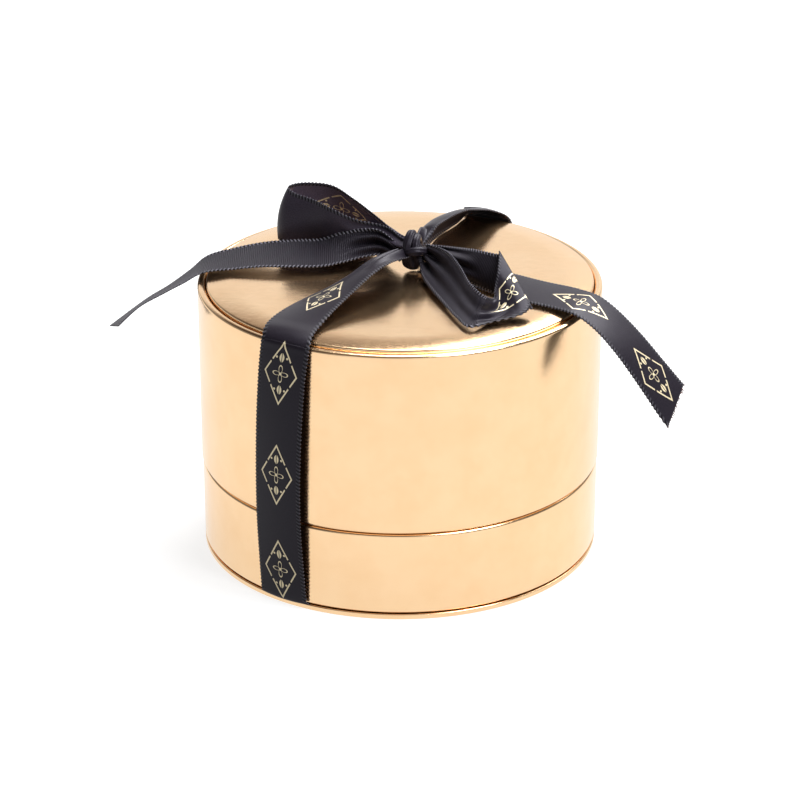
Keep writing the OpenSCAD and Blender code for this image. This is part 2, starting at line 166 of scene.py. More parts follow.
# The room: white to the eye, an even dim tone to matt surfaces, and shaded from its floor to
# its top for metal and satin
def makeWorld():
    world = bpy.data.worlds.new("studio")
    scene.world = world
    tree = emptyTree(world)
    way = addNode(tree, "ShaderNodeTexCoord", output="Generated")
    height = addNode(tree, "ShaderNodeSeparateXYZ", sockets={0: way}, output="Z")
    aside = addNode(tree, "ShaderNodeSeparateXYZ", sockets={0: way}, output="X").size()
    # What metal and satin see: a white wall low down, a dim room above it and to the sides, and
    # a soft box overhead
    room = addNode(tree, "ShaderNodeValToRGB", {"stops": [
        (0.00, (1.0, 1.0, 1.0)), (0.30, (1.0, 1.0, 1.0)), (0.40, (0.94, 0.93, 0.93)),
        (0.48, (0.62, 0.58, 0.56)), (0.56, (0.30, 0.26, 0.24)), (0.70, (0.11, 0.09, 0.08)),
        (0.88, (0.16, 0.14, 0.13)), (0.95, (0.50, 0.50, 0.50)), (1.00, (0.9, 0.9, 0.9))]},
        {0: height})
    dim = aside.between(0.40, 0.64) * height.between(0.0, 0.12) * lightSet["sideDim"]
    room = mixTone(tree, dim, room, (0.0, 0.0, 0.0))
    seen, glossy = rayKinds(tree)
    tone = lighter(lightSet["worldTone"], lightSet["worldDiffuse"])
    tone = mixTone(tree, glossy, tone, room)
    tone = mixTone(tree, seen, tone, (1.0, 1.0, 1.0))
    sky = addNode(tree, "ShaderNodeBackground", sockets={"Color": tone, "Strength": 1.0})
    end = tree.nodes.new("ShaderNodeOutputWorld")
    tree.links.new(sky.socket, end.inputs["Surface"])


# Square soft light that looks at the box
def makeLamp(name, place, size, watts):
    data = bpy.data.lights.new(name, "AREA")
    data.shape = "SQUARE"
    data.size = size * mm
    data.energy = watts
    thing = placed(name, data)
    thing.location = Vector(place) * mm
    aim(thing, Vector((0, 0, 40)) - Vector(place))


# A floor that is white to the eye and takes the box's shadow
def makeFloor():
    half = 4.0
    mesh = bpy.data.meshes.new("floor")
    mesh.from_pydata([(-half, -half, 0), (half, -half, 0), (half, half, 0), (-half, half, 0)], [],
                     [(0, 1, 2, 3)])
    thing = placed("floor", mesh)
    material = bpy.data.materials.new("white floor")
    tree = emptyTree(material)
    seen, glossy = rayKinds(tree)
    # The floor's white is light for the eye and for mirror rays alone. Mirror rays see less of
    # its shading and more of that white.
    tone = lightSet["floorTone"]
    tone = mixTone(tree, glossy, (tone,) * 3, (tone * lightSet["mirrorShare"],) * 3)
    matt = addNode(tree, "ShaderNodeBsdfDiffuse", sockets={"Color": tone})
    strength = seen * lightSet["seenLift"] + glossy * lightSet["mirrorLift"]
    lift = addNode(tree, "ShaderNodeEmission",
                   sockets={"Color": (1.0, 1.0, 1.0), "Strength": strength})
    both = addNode(tree, "ShaderNodeAddShader", sockets={0: matt, 1: lift})
    end = tree.nodes.new("ShaderNodeOutputMaterial")
    tree.links.new(both.socket, end.inputs["Surface"])
    mesh.materials.append(material)


makeCamera()
makeWorld()
makeLamp("key", lightSet["keyPlace"], lightSet["keySize"], lightSet["keyWatts"])
makeLamp("fill", lightSet["fillPlace"], lightSet["fillSize"], lightSet["fillWatts"])
makeFloor()
print("stage 2: camera, light and floor")


# Materials
socketNames = {"tone": "Base Color", "rough": "Roughness", "metal": "Metallic", "normal": "Normal",
               "specular": "Specular IOR Level", "tint": "Specular Tint",
               "sheen": "Sheen Weight", "sheenRough": "Sheen Roughness",
               "sheenTint": "Sheen Tint"}


# Makes a material from a recipe, which is a function that gives what goes into the sockets
def makeMaterial(name, recipe, *facts):
    material = bpy.data.materials.new(name)
    tree = emptyTree(material)
    skin = tree.nodes.new("ShaderNodeBsdfPrincipled")
    end = tree.nodes.new("ShaderNodeOutputMaterial")
    tree.links.new(skin.outputs[0], end.inputs["Surface"])
    for key, item in recipe(tree, *facts).items():
        plug(tree, skin.inputs[socketNames[key]], item)
    return material


# Where a point lies on the object, in metres
def objectPlace(tree):
    return addNode(tree, "ShaderNodeTexCoord", output="Object")


# Cloudy noise from 0 to 1, with so many clouds to the metre
def noise(tree, place, scale, detail=2.0, rough=0.5, output=0):
    return addNode(tree, "ShaderNodeTexNoise", {"noise_dimensions": "3D"},
                   {"Vector": place, "Scale": scale, "Detail": detail, "Roughness": rough}, output)


# A place times a scale of its own on each axis
def stretched(tree, place, scale):
    return addNode(tree, "ShaderNodeMapping", {"vector_type": "POINT"},
                   {"Vector": place, "Scale": scale})


# Fine relief in the shading alone, its height times the distance in metres
def relief(tree, height, distance, strength=1.0, normal=None):
    sockets = {"Height": height, "Distance": distance, "Strength": strength}
    if normal is not None:
        sockets["Normal"] = normal
    return addNode(tree, "ShaderNodeBump", sockets=sockets)


foilSet = {"tone": (0.975, 0.68, 0.405), "deepTone": (0.95, 0.635, 0.36), "rough": 0.17,
           "smear": 0.07, "cloud": 0.05, "wear": 0.12, "wearTone": (0.80, 0.50, 0.24),
           "hairline": 0.0022, "grain": 0.000012, "peel": 0.00006}


# Gold foil paper: a soft mirror with faint smears, a fine paper grain and a few hairline marks
def goldFoil(tree):
    place = objectPlace(tree)
    smear = noise(tree, place, 26, 3.0)
    cloud = noise(tree, place, 90, 4.0, 0.6)
    grain = noise(tree, place, 5200, 2.0)
    peel = noise(tree, place, 420, 2.0)
    marks = noise(tree, stretched(tree, place, (1.0, 6.0, 1.0)), 160, 6.0, 0.7)
    hairline = 1 - (marks - 0.5).size().between(0.0, foilSet["hairline"])
    patch = noise(tree, place, 14, 1.0).between(0.60, 0.66)
    wear = hairline * patch
    rough = foilSet["rough"] + (smear - 0.5) * foilSet["smear"] + (cloud - 0.5) * foilSet["cloud"]
    rough = rough + wear * foilSet["wear"]
    tone = mixTone(tree, cloud.between(0.35, 0.75), foilSet["tone"], foilSet["deepTone"])
    tone = mixTone(tree, wear * 0.5, tone, foilSet["wearTone"])
    normal = relief(tree, peel, foilSet["peel"], 0.5)
    normal = relief(tree, grain, foilSet["grain"], 0.8, normal)
    return dict(tone=tone, rough=rough, metal=1.0, normal=normal)


# Grey board: pale brown fibres in layers
def greyBoard(tree):
    place = objectPlace(tree)
    fibre = noise(tree, stretched(tree, place, (1.0, 1.0, 5.0)), 700, 5.0, 0.65)
    fleck = noise(tree, place, 1500, 3.0).between(0.62, 0.70)
    tone = mixTone(tree, fibre, (0.30, 0.255, 0.20), (0.44, 0.39, 0.32))
    tone = mixTone(tree, fleck * 0.6, tone, (0.16, 0.13, 0.10))
    return dict(tone=tone, rough=0.92, specular=0.2,
                normal=relief(tree, fibre, 0.0001, 0.6))


# Lining paper: warm white, with a faint tooth
def liningPaper(tree):
    place = objectPlace(tree)
    tooth = noise(tree, place, 1800, 4.0, 0.6)
    cloud = noise(tree, place, 120, 3.0)
    tone = mixTone(tree, cloud, (0.80, 0.755, 0.66), (0.86, 0.82, 0.73))
    return dict(tone=tone, rough=0.86 + (tooth - 0.5) * 0.1, specular=0.3,
                normal=relief(tree, tooth, 0.00004, 0.6))


# Foam, seen only down in the slits
def padFoam(tree):
    place = objectPlace(tree)
    cells = addNode(tree, "ShaderNodeTexVoronoi", sockets={"Vector": place, "Scale": 1600.0})
    tone = mixTone(tree, cells, (0.52, 0.50, 0.44), (0.74, 0.72, 0.66))
    return dict(tone=tone, rough=0.95, specular=0.2,
                normal=relief(tree, cells, 0.0003, 0.6))


# Velvet: near black, with a pile that catches light at its edge and lies in soft patches
def padVelvet(tree):
    place = objectPlace(tree)
    pile = noise(tree, place, 3600, 2.0)
    brushed = noise(tree, stretched(tree, place, (1.0, 2.2, 1.0)), 55, 3.0, 0.6)
    tone = mixTone(tree, brushed.between(0.35, 0.65), (0.010, 0.009, 0.014), (0.024, 0.022, 0.031))
    tone = mixTone(tree, pile.between(0.55, 0.75), tone, (0.045, 0.042, 0.056))
    return dict(tone=tone, rough=0.95, specular=0.15, sheen=0.6, sheenRough=0.35,
                sheenTint=(0.55, 0.53, 0.68), normal=relief(tree, pile, 0.0002, 0.7))


satinSet = {"tone": (0.0100, 0.0082, 0.0122), "lightTone": (0.0180, 0.0148, 0.0215),
            "tint": (0.88, 0.85, 1.0), "smoothRough": 0.34, "ribbedRough": 0.50, "specular": 0.17,
            "sheen": 0.06, "sheenRough": 0.32, "sheenTint": (0.78, 0.72, 0.88), "ribPitch": 0.575,
            "smoothDepth": 0.00002, "ribbedDepth": 0.00016, "ribGrooveShade": 0.5, "grain": 0.12,
            "picotPitch": 1.15, "picotWide": 1.1, "picotHighlightTone": (0.13, 0.125, 0.15),
            "smoothPicotHighlight": 0.35, "picotGapShade": (0.001, 0.001, 0.0015), "inkRough": 0.34,
            "inkMetal": 0.35, "inkTone": (0.80, 0.69, 0.46), "motifPitch": 31.0, "motifLong": 9.2,
            "motifWide": 5.4, "line": 0.19, "leafAt": 4.9, "dotAt": 1.75}


# Printed ornament on x along the ribbon and y across it, in millimetres from its middle: a
# lozenge line where the shares of its half length and half width add up to 1, a flower whose
# outline's radius goes with the cosine of four times the angle, its eye, and two leaves between
# parabolas, each with a vein and two dots
def ornament(x, y):
    long, wide, line = satinSet["motifLong"], satinSet["motifWide"], satinSet["line"]
    soft = 0.07
    reach = x.size() / long + y.size() / wide
    steep = long * wide / math.hypot(long, wide)
    outer = 1 - ((reach - 1) * steep).size().between(line, line + soft)
    outer = outer * (x.size() - y.size() * 1.1).size().between(0.5, 0.6)
    far = (x * x + y * y) ** 0.5
    petal = 1.55 + (y.angleOver(x) * 4).cosine() * 0.95
    flower = 1 - (far - petal).size().between(line * 0.8, line * 0.8 + soft)
    eye = 1 - far.between(0.42, 0.42 + soft)
    along = x.size() - satinSet["leafAt"]
    leaf = (0.85 - along * along * 0.34 - y.size()).between(0.0, soft)
    leaf = leaf * y.size().between(0.10, 0.16)
    up = y.size() - satinSet["dotAt"]
    dots = 1 - ((along * along + up * up) ** 0.5).between(0.30, 0.37)
    return outer.most(flower).most(eye).most(leaf).most(dots)


# Satin ribbon. It reads its own map, which holds distances along and across the cloth. The
# smooth side carries the print, the back is finely ribbed across, and both have a woven edge of
# short loops, with a painted highlight on each loop and painted shade in the gaps. On the back the
# rib grooves are painted darker. Lift makes the cloth that many times lighter, which paints on
# light.
def satin(tree, side, lift=1.0):
    t = satinSet
    cloth = addNode(tree, "ShaderNodeUVMap", {"uv_map": "cloth"})
    along = addNode(tree, "ShaderNodeSeparateXYZ", sockets={0: cloth}, output="X") * 1000
    across = addNode(tree, "ShaderNodeSeparateXYZ", sockets={0: cloth}, output="Y") * 1000
    edge = across.least(box["ribbonWidth"] - across)
    band = 1 - edge.between(t["picotWide"] - 0.05, t["picotWide"] + 0.05)
    loop = ((along + edge * 0.42) * (2 * math.pi / t["picotPitch"])).wave() * 0.5 + 0.5
    if side == "ribbed":
        ribs = (along * (2 * math.pi / t["ribPitch"])).wave() * 0.5 + 0.5
        weave = noise(tree, cloth, 3000, 2.0)
        height, depth = ribs * 0.75 + weave * 0.25, t["ribbedDepth"]
        # Painted shade in the rib grooves: the tone follows the ribs, darker in the grooves and
        # lighter on the crests
        rough, shade = t["ribbedRough"], ribs * 0.8 + weave * 0.2
        deep, picot = t["ribGrooveShade"] * lift, t["picotHighlightTone"]
    else:
        threads = noise(tree, stretched(tree, cloth, (500.0, 7000.0, 1.0)), 1.0, 3.0, 0.6)
        weave = noise(tree, cloth, 2600, 2.0)
        height, depth = threads * 0.7 + weave * 0.3, t["smoothDepth"]
        rough, shade = t["smoothRough"], weave
        deep, picot = lift, lighter(t["picotHighlightTone"], t["smoothPicotHighlight"])
    # Lift raises both tones, which paints light onto the cloth
    tone = mixTone(tree, shade.between(0.30, 0.75), lighter(t["tone"], deep),
                   lighter(t["lightTone"], lift))
    # Painted highlight on the loops of the woven edges, and painted shade in the gaps between them
    tone = mixTone(tree, band * loop.between(0.45, 0.75), tone, picot)
    tone = mixTone(tree, band * (1 - loop.between(0.2, 0.45)), tone, t["picotGapShade"])
    rough = (rough + (weave - 0.5) * t["grain"]) * (1 - band * 0.3) + band * 0.2
    height = height * (1 - band) + band * loop * 2.2
    metal = 0.0
    if side == "printed":
        x = ((along / t["motifPitch"]).fraction() - 0.5) * t["motifPitch"]
        ink = ornament(x, across - box["ribbonWidth"] / 2)
        tone = mixTone(tree, ink, tone, t["inkTone"])
        rough = rough * (1 - ink) + ink * t["inkRough"]
        metal = ink * t["inkMetal"]
        height = height + ink * 0.8
    gloss = {key: t[key] for key in ("specular", "tint", "sheen", "sheenRough", "sheenTint")}
    return dict(tone=tone, rough=rough, metal=metal, normal=relief(tree, height, depth),
                **gloss)


# Loose threads at a cut end: dark, with a warm red-brown dye
def cutThread(tree):
    shade = noise(tree, objectPlace(tree), 2500, 2.0)
    tone = mixTone(tree, shade, (0.05, 0.012, 0.012), (0.16, 0.05, 0.045))
    return dict(tone=tone, rough=0.7, specular=0.3)


foilMaterial = makeMaterial("gold foil paper", goldFoil)
boardMaterial = makeMaterial("grey board", greyBoard)
paperMaterial = makeMaterial("lining paper", liningPaper)
foamMaterial = makeMaterial("foam", padFoam)
velvetMaterial = makeMaterial("velvet", padVelvet)
threadMaterial = makeMaterial("cut thread", cutThread)
ribbedMaterial = makeMaterial("ribbed satin", satin, "ribbed")
# The left loop has three satins of its own, the last ones in the list. They are lighter than the
# rest of the ribbon on purpose, to stand in for light that the lamps here don't give it.
loopPaintedLight = {"inside": 7.0, "outside": 2.6}
satinMaterials = [makeMaterial("printed satin", satin, "printed"), ribbedMaterial,
                  makeMaterial("plain satin", satin, "plain"),
                  makeMaterial("lit printed satin", satin, "printed", loopPaintedLight["inside"]),
                  makeMaterial("lit plain satin", satin, "plain", loopPaintedLight["inside"]),
                  makeMaterial("painted light plain satin", satin, "plain", loopPaintedLight["outside"])]
# Places in that list for each kind of side: close to an ornament, and elsewhere
sideSlots = {"printed": (0, 2), "ribbed": (1, 1), "plain": (2, 2), "lit": (3, 4), "soft": (5, 5)}
print("stage 3: materials")


# Four-cornered faces between neighbouring rows and columns of a grid of points
def gridFaces(rows, columns, closeRows=False, closeColumns=False):
    i = np.arange(rows if closeRows else rows - 1)[:, None]
    j = np.arange(columns if closeColumns else columns - 1)[None, :]
    i2, j2 = (i + 1) % rows, (j + 1) % columns
    return np.stack([i * columns + j, i2 * columns + j, i2 * columns + j2, i * columns + j2],
                    axis=-1).reshape(-1, 4)


# Turns a closed skin the right way out: its volume, summed over its faces as corners' triple
# products, has to be positive
def outward(points, faces):
    a, b, c, d = (points[faces[:, k]] for k in range(4))
    volume = (a * np.cross(b, c)).sum() + (a * np.cross(c, d)).sum()
    return faces[:, ::-1] if volume < 0 else faces


# Makes a piece from points in millimetres, with a material for each face and a cloth map
# where they are given, and lets it ride on its body
def makePiece(name, points, faces, materials, body, slots=None, cloth=None, merge=False):
    mesh = bpy.data.meshes.new(name)
    faces = faces.tolist() if isinstance(faces, np.ndarray) else faces
    mesh.from_pydata((np.asarray(points) * mm).tolist(), [], faces)
    for material in materials:
        mesh.materials.append(material)
    if slots is not None:
        mesh.polygons.foreach_set("material_index", np.asarray(slots, np.int32))
    if cloth is not None:
        corner = np.empty(len(mesh.loops), np.int32)
        mesh.loops.foreach_get("vertex_index", corner)
        chart = mesh.uv_layers.new(name="cloth")
        chart.data.foreach_set("uv", (np.asarray(cloth)[corner] * mm).astype(np.float32).ravel())
    if merge:
        soup = bmesh.new()
        soup.from_mesh(mesh)
        bmesh.ops.remove_doubles(soup, verts=soup.verts, dist=1e-7)
        bmesh.ops.dissolve_degenerate(soup, dist=1e-8, edges=soup.edges)
        soup.to_mesh(mesh)
        soup.free()
    mesh.polygons.foreach_set("use_smooth", np.ones(len(mesh.polygons), bool))
    mesh.update()
    thing = placed(name, mesh)
    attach(thing, body)
    return thing


# Points on an arc, from one angle to another, in degrees
def arc(x, z, radius, start, stop, steps):
    a = np.radians(np.linspace(start, stop, steps + 1))
    return np.stack([x + radius * np.cos(a), z + radius * np.sin(a)], axis=1)


# A profile from points and runs of points. A number between two of them is a straight line in
# that many steps, and a point that stands where the one before it does is left out.
def route(*runs):
    made, steps = [], 1
    for run in runs:
        if isinstance(run, int):
            steps = run
            continue
        run = np.atleast_2d(run)
        if made:
            share = np.linspace(0, 1, steps + 1)[1:-1, None]
            made.append(made[-1][-1:] * (1 - share) + run[:1] * share)
        made.append(run)
        steps = 1
    points = np.concatenate(made)
    keep = np.ones(len(points), bool)
    keep[1:] = np.linalg.norm(np.diff(points, axis=0), axis=1) > 1e-6
    return points[keep]


# Profile carried round the axis: x is the radius times the azimuth's cosine, and y times its
# sine. warp(azimuth, radius, height) adds small moves outwards and up.
def lathe(name, profile, segments, material, body, closed, warp=None):
    azimuth = np.linspace(0, 2 * np.pi, segments, endpoint=False)
    r = np.repeat(profile[:, 0:1], segments, axis=1)
    z = np.repeat(profile[:, 1:2], segments, axis=1)
    if warp is not None:
        out, up = warp(azimuth[None, :], r, z)
        r, z = r + out, z + up
    points = np.stack([r * np.cos(azimuth), r * np.sin(azimuth), z], axis=-1).reshape(-1, 3)
    faces = outward(points, gridFaces(len(profile), segments, closed, True))
    return makePiece(name, points, faces, [material], body, merge=not closed)


# Smooth step from 0 at low to 1 at high: three times the share squared, less twice its cube
def ease(x, low, high):
    s = np.clip((x - low) / (high - low), 0, 1)
    return s * s * (3 - 2 * s)


# Foil on the two tubes. Its outside follows the board with a faint wave, and its two
# ends overlap in an upright lap at the back.
tubeSet = {"segments": 384, "wave": 0.035, "lapRise": 0.10, "lapWide": 11.0}


# Foil round a tube's wall: from the turned-in end at the bottom, round a quarter circle at
# each corner of each rim, to the turned-in end at the top, and back a foil's thickness
# inside that line. The quarter circles have the radius f.
def tubeProfile(inner, outer, low, high, f, turnIn, foil):
    g = f - foil
    return route(
        (inner, low + turnIn), 6, arc(inner + f, low + f, f, 180, 270, 8),
        arc(outer - f, low + f, f, 270, 360, 8), 34, arc(outer - f, high - f, f, 0, 90, 8),
        arc(inner + f, high - f, f, 90, 180, 8), 6, (inner, high - turnIn),
        (inner + foil, high - turnIn), 2, arc(inner + f, high - f, g, 180, 90, 4),
        arc(outer - f, high - f, g, 90, 0, 4), 2, arc(outer - f, low + f, g, 0, -90, 4),
        arc(inner + f, low + f, g, 270, 180, 4), 2, (inner + foil, low + turnIn))


# Moves the outside out by a sum of three sines of the azimuth, which fades to nothing at
# both rims, and by a step at the lap, which fades out along the foil
def tubeWarp(outer, low, high, phase, lapAt):
    def warp(azimuth, r, z):
        outside = ease(r, outer - 0.12, outer - 0.02)
        middle = ease(z, low, low + 6) * ease(-z, -high, -high + 6)
        wave = (np.sin(3 * azimuth + phase) + 0.6 * np.sin(7 * azimuth - 2 * phase + 0.03 * z)
                + 0.35 * np.sin(13 * azimuth + 0.05 * z + phase))
        turn = (azimuth - math.radians(lapAt) + np.pi) % (2 * np.pi) - np.pi
        span = turn * outer
        lap = ease(span, -0.25, 0.0) * ease(-span, -tubeSet["lapWide"], -tubeSet["lapWide"] * 0.35)
        out = outside * (middle * wave * tubeSet["wave"] + lap * tubeSet["lapRise"])
        return out, 0 * out
    return warp


lidFoil = lathe(
    "lid_tube_foil_wrap",
    tubeProfile(box["lidInner"], box["radius"], box["seam"], box["rim"], box["rimRound"],
                box["turnIn"], box["foil"]),
    tubeSet["segments"], foilMaterial, "lid", True,
    tubeWarp(box["radius"], box["seam"], box["rim"], 0.7, 112))
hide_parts("lid_tube_foil")
baseFoil = lathe(
    "base_tube_foil_wrap",
    tubeProfile(box["baseInner"], box["baseRadius"], box["baseLow"], box["baseRim"],
                box["rimRound"], box["turnIn"], box["foil"]),
    tubeSet["segments"], foilMaterial, "base", True,
    tubeWarp(box["baseRadius"], box["baseLow"], box["baseRim"], 2.1, 96))
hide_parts("base_tube_foil")

# Foil on the lid's disc: flat, a wide roll down, a tight edge, and turned in underneath
discSet = {"radius": 57.4, "top": 84.0, "under": 81.0, "rollWide": 9.5, "rollDrop": 0.9,
           "edgeRound": 0.7, "segments": 384, "wave": 0.02, "waveFull": 57}


# The wide roll is part of a circle that falls by rollDrop over rollWide, and the edge is
# part of a small circle that touches it inside
def discProfile():
    d, foil = discSet, box["foil"]
    outer, under, small = d["radius"], d["under"], 0.2
    rollRadius = (d["rollWide"] ** 2 + d["rollDrop"] ** 2) / (2 * d["rollDrop"])
    rollX, rollZ = outer - d["rollWide"], d["top"] - rollRadius
    edgeX = outer - d["edgeRound"]
    edgeZ = rollZ + math.sqrt((rollRadius - d["edgeRound"]) ** 2 - (edgeX - rollX) ** 2)
    tip = math.degrees(math.atan2(edgeZ - rollZ, edgeX - rollX))
    return route(
        (0, d["top"]), 24, arc(rollX, rollZ, rollRadius, 90, tip, 16),
        arc(edgeX, edgeZ, d["edgeRound"], tip, 0, 10), 3,
        arc(outer - small, under + small, small, 0, -90, 3), 4, (outer - box["turnIn"], under),
        (outer - box["turnIn"], under + foil), 3, (outer - foil, under + foil), 2,
        arc(edgeX, edgeZ, d["edgeRound"] - foil, 0, tip, 5),
        arc(rollX, rollZ, rollRadius - foil, tip, 90, 6), 3, (0, d["top"] - foil))


# Lifts the top by a sum of two sines of the azimuth, times the radius's share of waveFull
def discWarp(azimuth, r, z):
    top = ease(z, discSet["top"] - 1.2, discSet["top"] - 0.7)
    fade = ease(r, 3, 20)
    wave = np.sin(2 * azimuth + 0.4) + 0.7 * np.sin(5 * azimuth - 1.0 + 0.05 * r)
    return 0 * r, top * fade * wave * discSet["wave"] * (r / discSet["waveFull"])


lidTopFoil = lathe("lid_top_foil_wrap", discProfile(), discSet["segments"], foilMaterial, "lid",
                   False, discWarp)
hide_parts("lid_top_foil")

# Foil on the disc under the base
coverSet = {"radius": 59.7, "thick": 1.6, "edgeRound": 0.35, "segments": 384}


# Flat below, a quarter circle at both corners of the edge, turned in on top, and back a
# foil's thickness inside
def coverProfile():
    outer, thick, e = coverSet["radius"], coverSet["thick"], coverSet["edgeRound"]
    foil, turned = box["foil"], coverSet["radius"] - box["turnIn"]
    return route(
        (0, 0), 6, arc(outer - e, e, e, -90, 0, 6), 2, arc(outer - e, thick - e, e, 0, 90, 6), 3,
        (turned, thick), (turned, thick - foil), 2, (outer - foil, thick - foil), 2,
        (outer - foil, foil), 3, (0, foil))


coverFoil = lathe("base_cover_foil_wrap", coverProfile(), coverSet["segments"], foilMaterial,
                  "base", False)
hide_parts("base_cover_foil")



# Gives a piece one material in place of what it has
def wear(thing, material):
    thing.data.materials.clear()
    thing.data.materials.append(material)


for name in ("base_cover_board", "base_floor_board", "base_tube", "neck_tube", "pad_card",
             "lid_tube", "lid_top_board"):
    wear(cadNodes[name], boardMaterial)
for name in ("neck_paper", "base_floor_paper", "lid_top_paper", "lid_wall_paper"):
    wear(cadNodes[name], paperMaterial)
print("stage 4: foil, board and paper")

# Ribbon. Each row is a station: an edge point (shares of the box's radius, and of the ribbon's
# width above the lid), the turn and rise of the line across, and its span and bulge (shares of
# that width). Where cloth folds aslant, it ends in how many millimetres the cloth leads at its
# last edge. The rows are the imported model's, except that the loops run a little further into
# the knot, the back strap's far edge hangs lower and the right loop's first leg is flatter.
frontStrap = [
    [0.05, -0.034, 0.38, 150, -15, 0.36, -0.1], [-0.043, -0.2, 0.5, 142, -22, 0.66, -0.12],
    [-0.127, -0.317, 0.45, 143, -24, 0.85, -0.1], [-0.222, -0.46, 0.31, 147, -16, 0.97, -0.05],
    [-0.313, -0.617, 0.18, 148, -8, 1, -0.03], [-0.377, -0.75, 0.08, 148, -2, 1, -0.03],
    [-0.408, -0.85, 0.05, 148, -1, 1, -0.03]]
backStrap = [
    [0.11, 0.108, 0.36, 148, 0, 0.36, 0.06], [0.153, 0.177, 0.487, 144.1, -29.5, 0.35, 0.16],
    [0.187, 0.232, 0.619, 129.5, -57, 0.66, 0.24], [0.235, 0.312, 0.637, 122.8, -49.6, 0.8, 0.24],
    [0.282, 0.388, 0.637, 115.9, -43.5, 0.91, 0.2],
    [0.342, 0.485, 0.588, 116.3, -39.8, 0.89, 0.16],
    [0.383, 0.553, 0.506, 114, -33.6, 0.88, 0.12],
    [0.432, 0.635, 0.394, 117.4, -25.1, 0.88, 0.08],
    [0.465, 0.692, 0.306, 122.1, -18, 0.89, 0.05], [0.505, 0.75, 0.191, 133.8, -10.4, 0.88, 0.04],
    [0.545, 0.793, 0.081, 145.2, -2.6, 0.95, 0.05]]
leftLoop = [
    [0.045, 0.062, 0.27, -75, 84, 0.3, -0.05], [0.004, 0.096, 0.24, -80, 83, 0.36, -0.08],
    [-0.083, 0.205, 0.16, -72, 79, 0.54, -0.1], [-0.217, 0.275, 0.11, -92, 71, 0.7, -0.1],
    [-0.342, 0.3, 0.08, -82, 76, 0.88, -0.1], [-0.475, 0.35, 0.06, -22, 80, 0.96, -0.08],
    [-0.592, 0.392, 0.07, 31, 76, 0.99, -0.08], [-0.613, 0.467, 0.11, 17, 78, 0.99, -0.08],
    [-0.517, 0.525, 0.15, -40, 81, 0.99, -0.06], [-0.367, 0.525, 0.15, -69, 78, 0.98, -0.06],
    [-0.225, 0.45, 0.12, -103, 77, 0.84, -0.1], [-0.105, 0.305, 0.16, -152, 80, 0.62, -0.08],
    [-0.022, 0.18, 0.24, -120, 85, 0.36, -0.06], [0.04, 0.105, 0.27, -110, 86, 0.3, -0.04]]
rightLoop = [
    [0.097, -0.032, 0.219, 39.2, 59.8, 0.406, -0.1, 0],
    [0.111, -0.138, 0.125, 26.6, 51, 0.629, -0.08, 0],
    [0.151, -0.289, 0.1, 42.5, 48.9, 0.74, -0.07, 0],
    [0.209, -0.464, 0.081, 60.1, 39, 0.8, -0.06, 0],
    [0.267, -0.636, 0.075, 69.1, 31.9, 0.8, -0.05, 0],
    [0.325, -0.751, 0.069, 69.2, 30.5, 0.76, -0.07, 0],
    [0.436, -0.688, 0.075, 87, 17.9, 0.66, -0.08, 5],
    [0.533, -0.645, 0.1, 114.3, 22.3, 0.8, -0.08, 8],
    [0.594, -0.609, 0.137, 121.2, 29.4, 1.05, -0.04, 12.6],
    [0.619, -0.556, 0.175, 118.7, 31.1, 1.3, 0, 16],
    [0.613, -0.55, 0.122, 118.7, 31.1, 1.3, 0, 16],
    [0.433, -0.358, 0.162, 108.9, 42.8, 0.855, -0.08, 8],
    [0.258, -0.15, 0.188, 75.5, 55.9, 0.519, -0.1, 3],
    [0.138, -0.01, 0.244, 36.4, 51, 0.351, -0.06, 0], [0.088, 0.035, 0.26, 25, 54, 0.3, -0.04, 0]]
leftTail = [
    [0, 0.03, 0.2, 100, 65, 0.3, 0.05], [-0.092, 0.085, 0.24, 95, 62, 0.46, 0.07],
    [-0.183, 0.08, 0.21, 92, 45, 0.58, 0.07], [-0.285, 0.04, 0.16, 92, 26, 0.78, 0.05],
    [-0.387, -0.003, 0.14, 92, 13, 0.95, 0.04], [-0.533, -0.01, 0.14, 90, 10, 1, 0.02],
    [-0.678, 0, 0.13, 90, 7, 1, 0.02], [-0.825, -0.007, 0.09, 91, 3, 1, 0.02],
    [-0.968, -0.017, 0.04, 89, -2, 1, 0.02], [-1.075, 0, -0.2, 86, -6, 1, 0.02],
    [-1.19, 0.017, -0.46, 85, -10, 1, 0.02], [-1.298, 0.033, -0.72, 88, -13, 1.01, 0.01],
    [-1.408, 0.05, -1.13, 105, -21, 1.11, 0]]
rightTail = [
    [0.082, -0.036, 0.08, 40, 10, 0.34, 0.04], [0.3, -0.167, 0.06, 60, 4, 0.8, 0.03],
    [0.458, -0.308, 0.05, 64, 2, 0.98, 0.02], [0.6, -0.415, 0.05, 66, 2, 1, 0.02],
    [0.73, -0.495, 0.05, 62, 2, 1, 0.02], [0.817, -0.56, 0.04, 60, 1, 1, 0.02],
    [0.882, -0.6, -0.06, 60, 0, 1, 0.02], [0.952, -0.65, -0.25, 60, 0, 1, 0.02],
    [1.04, -0.7, -0.61, 61, 4, 1, 0.02], [1.132, -0.733, -1.08, 60, 8, 1, 0.02],
    [1.225, -0.758, -1.59, 60, 16, 1, 0.01], [1.273, -0.77, -1.83, 68, 27, 1.05, 0]]
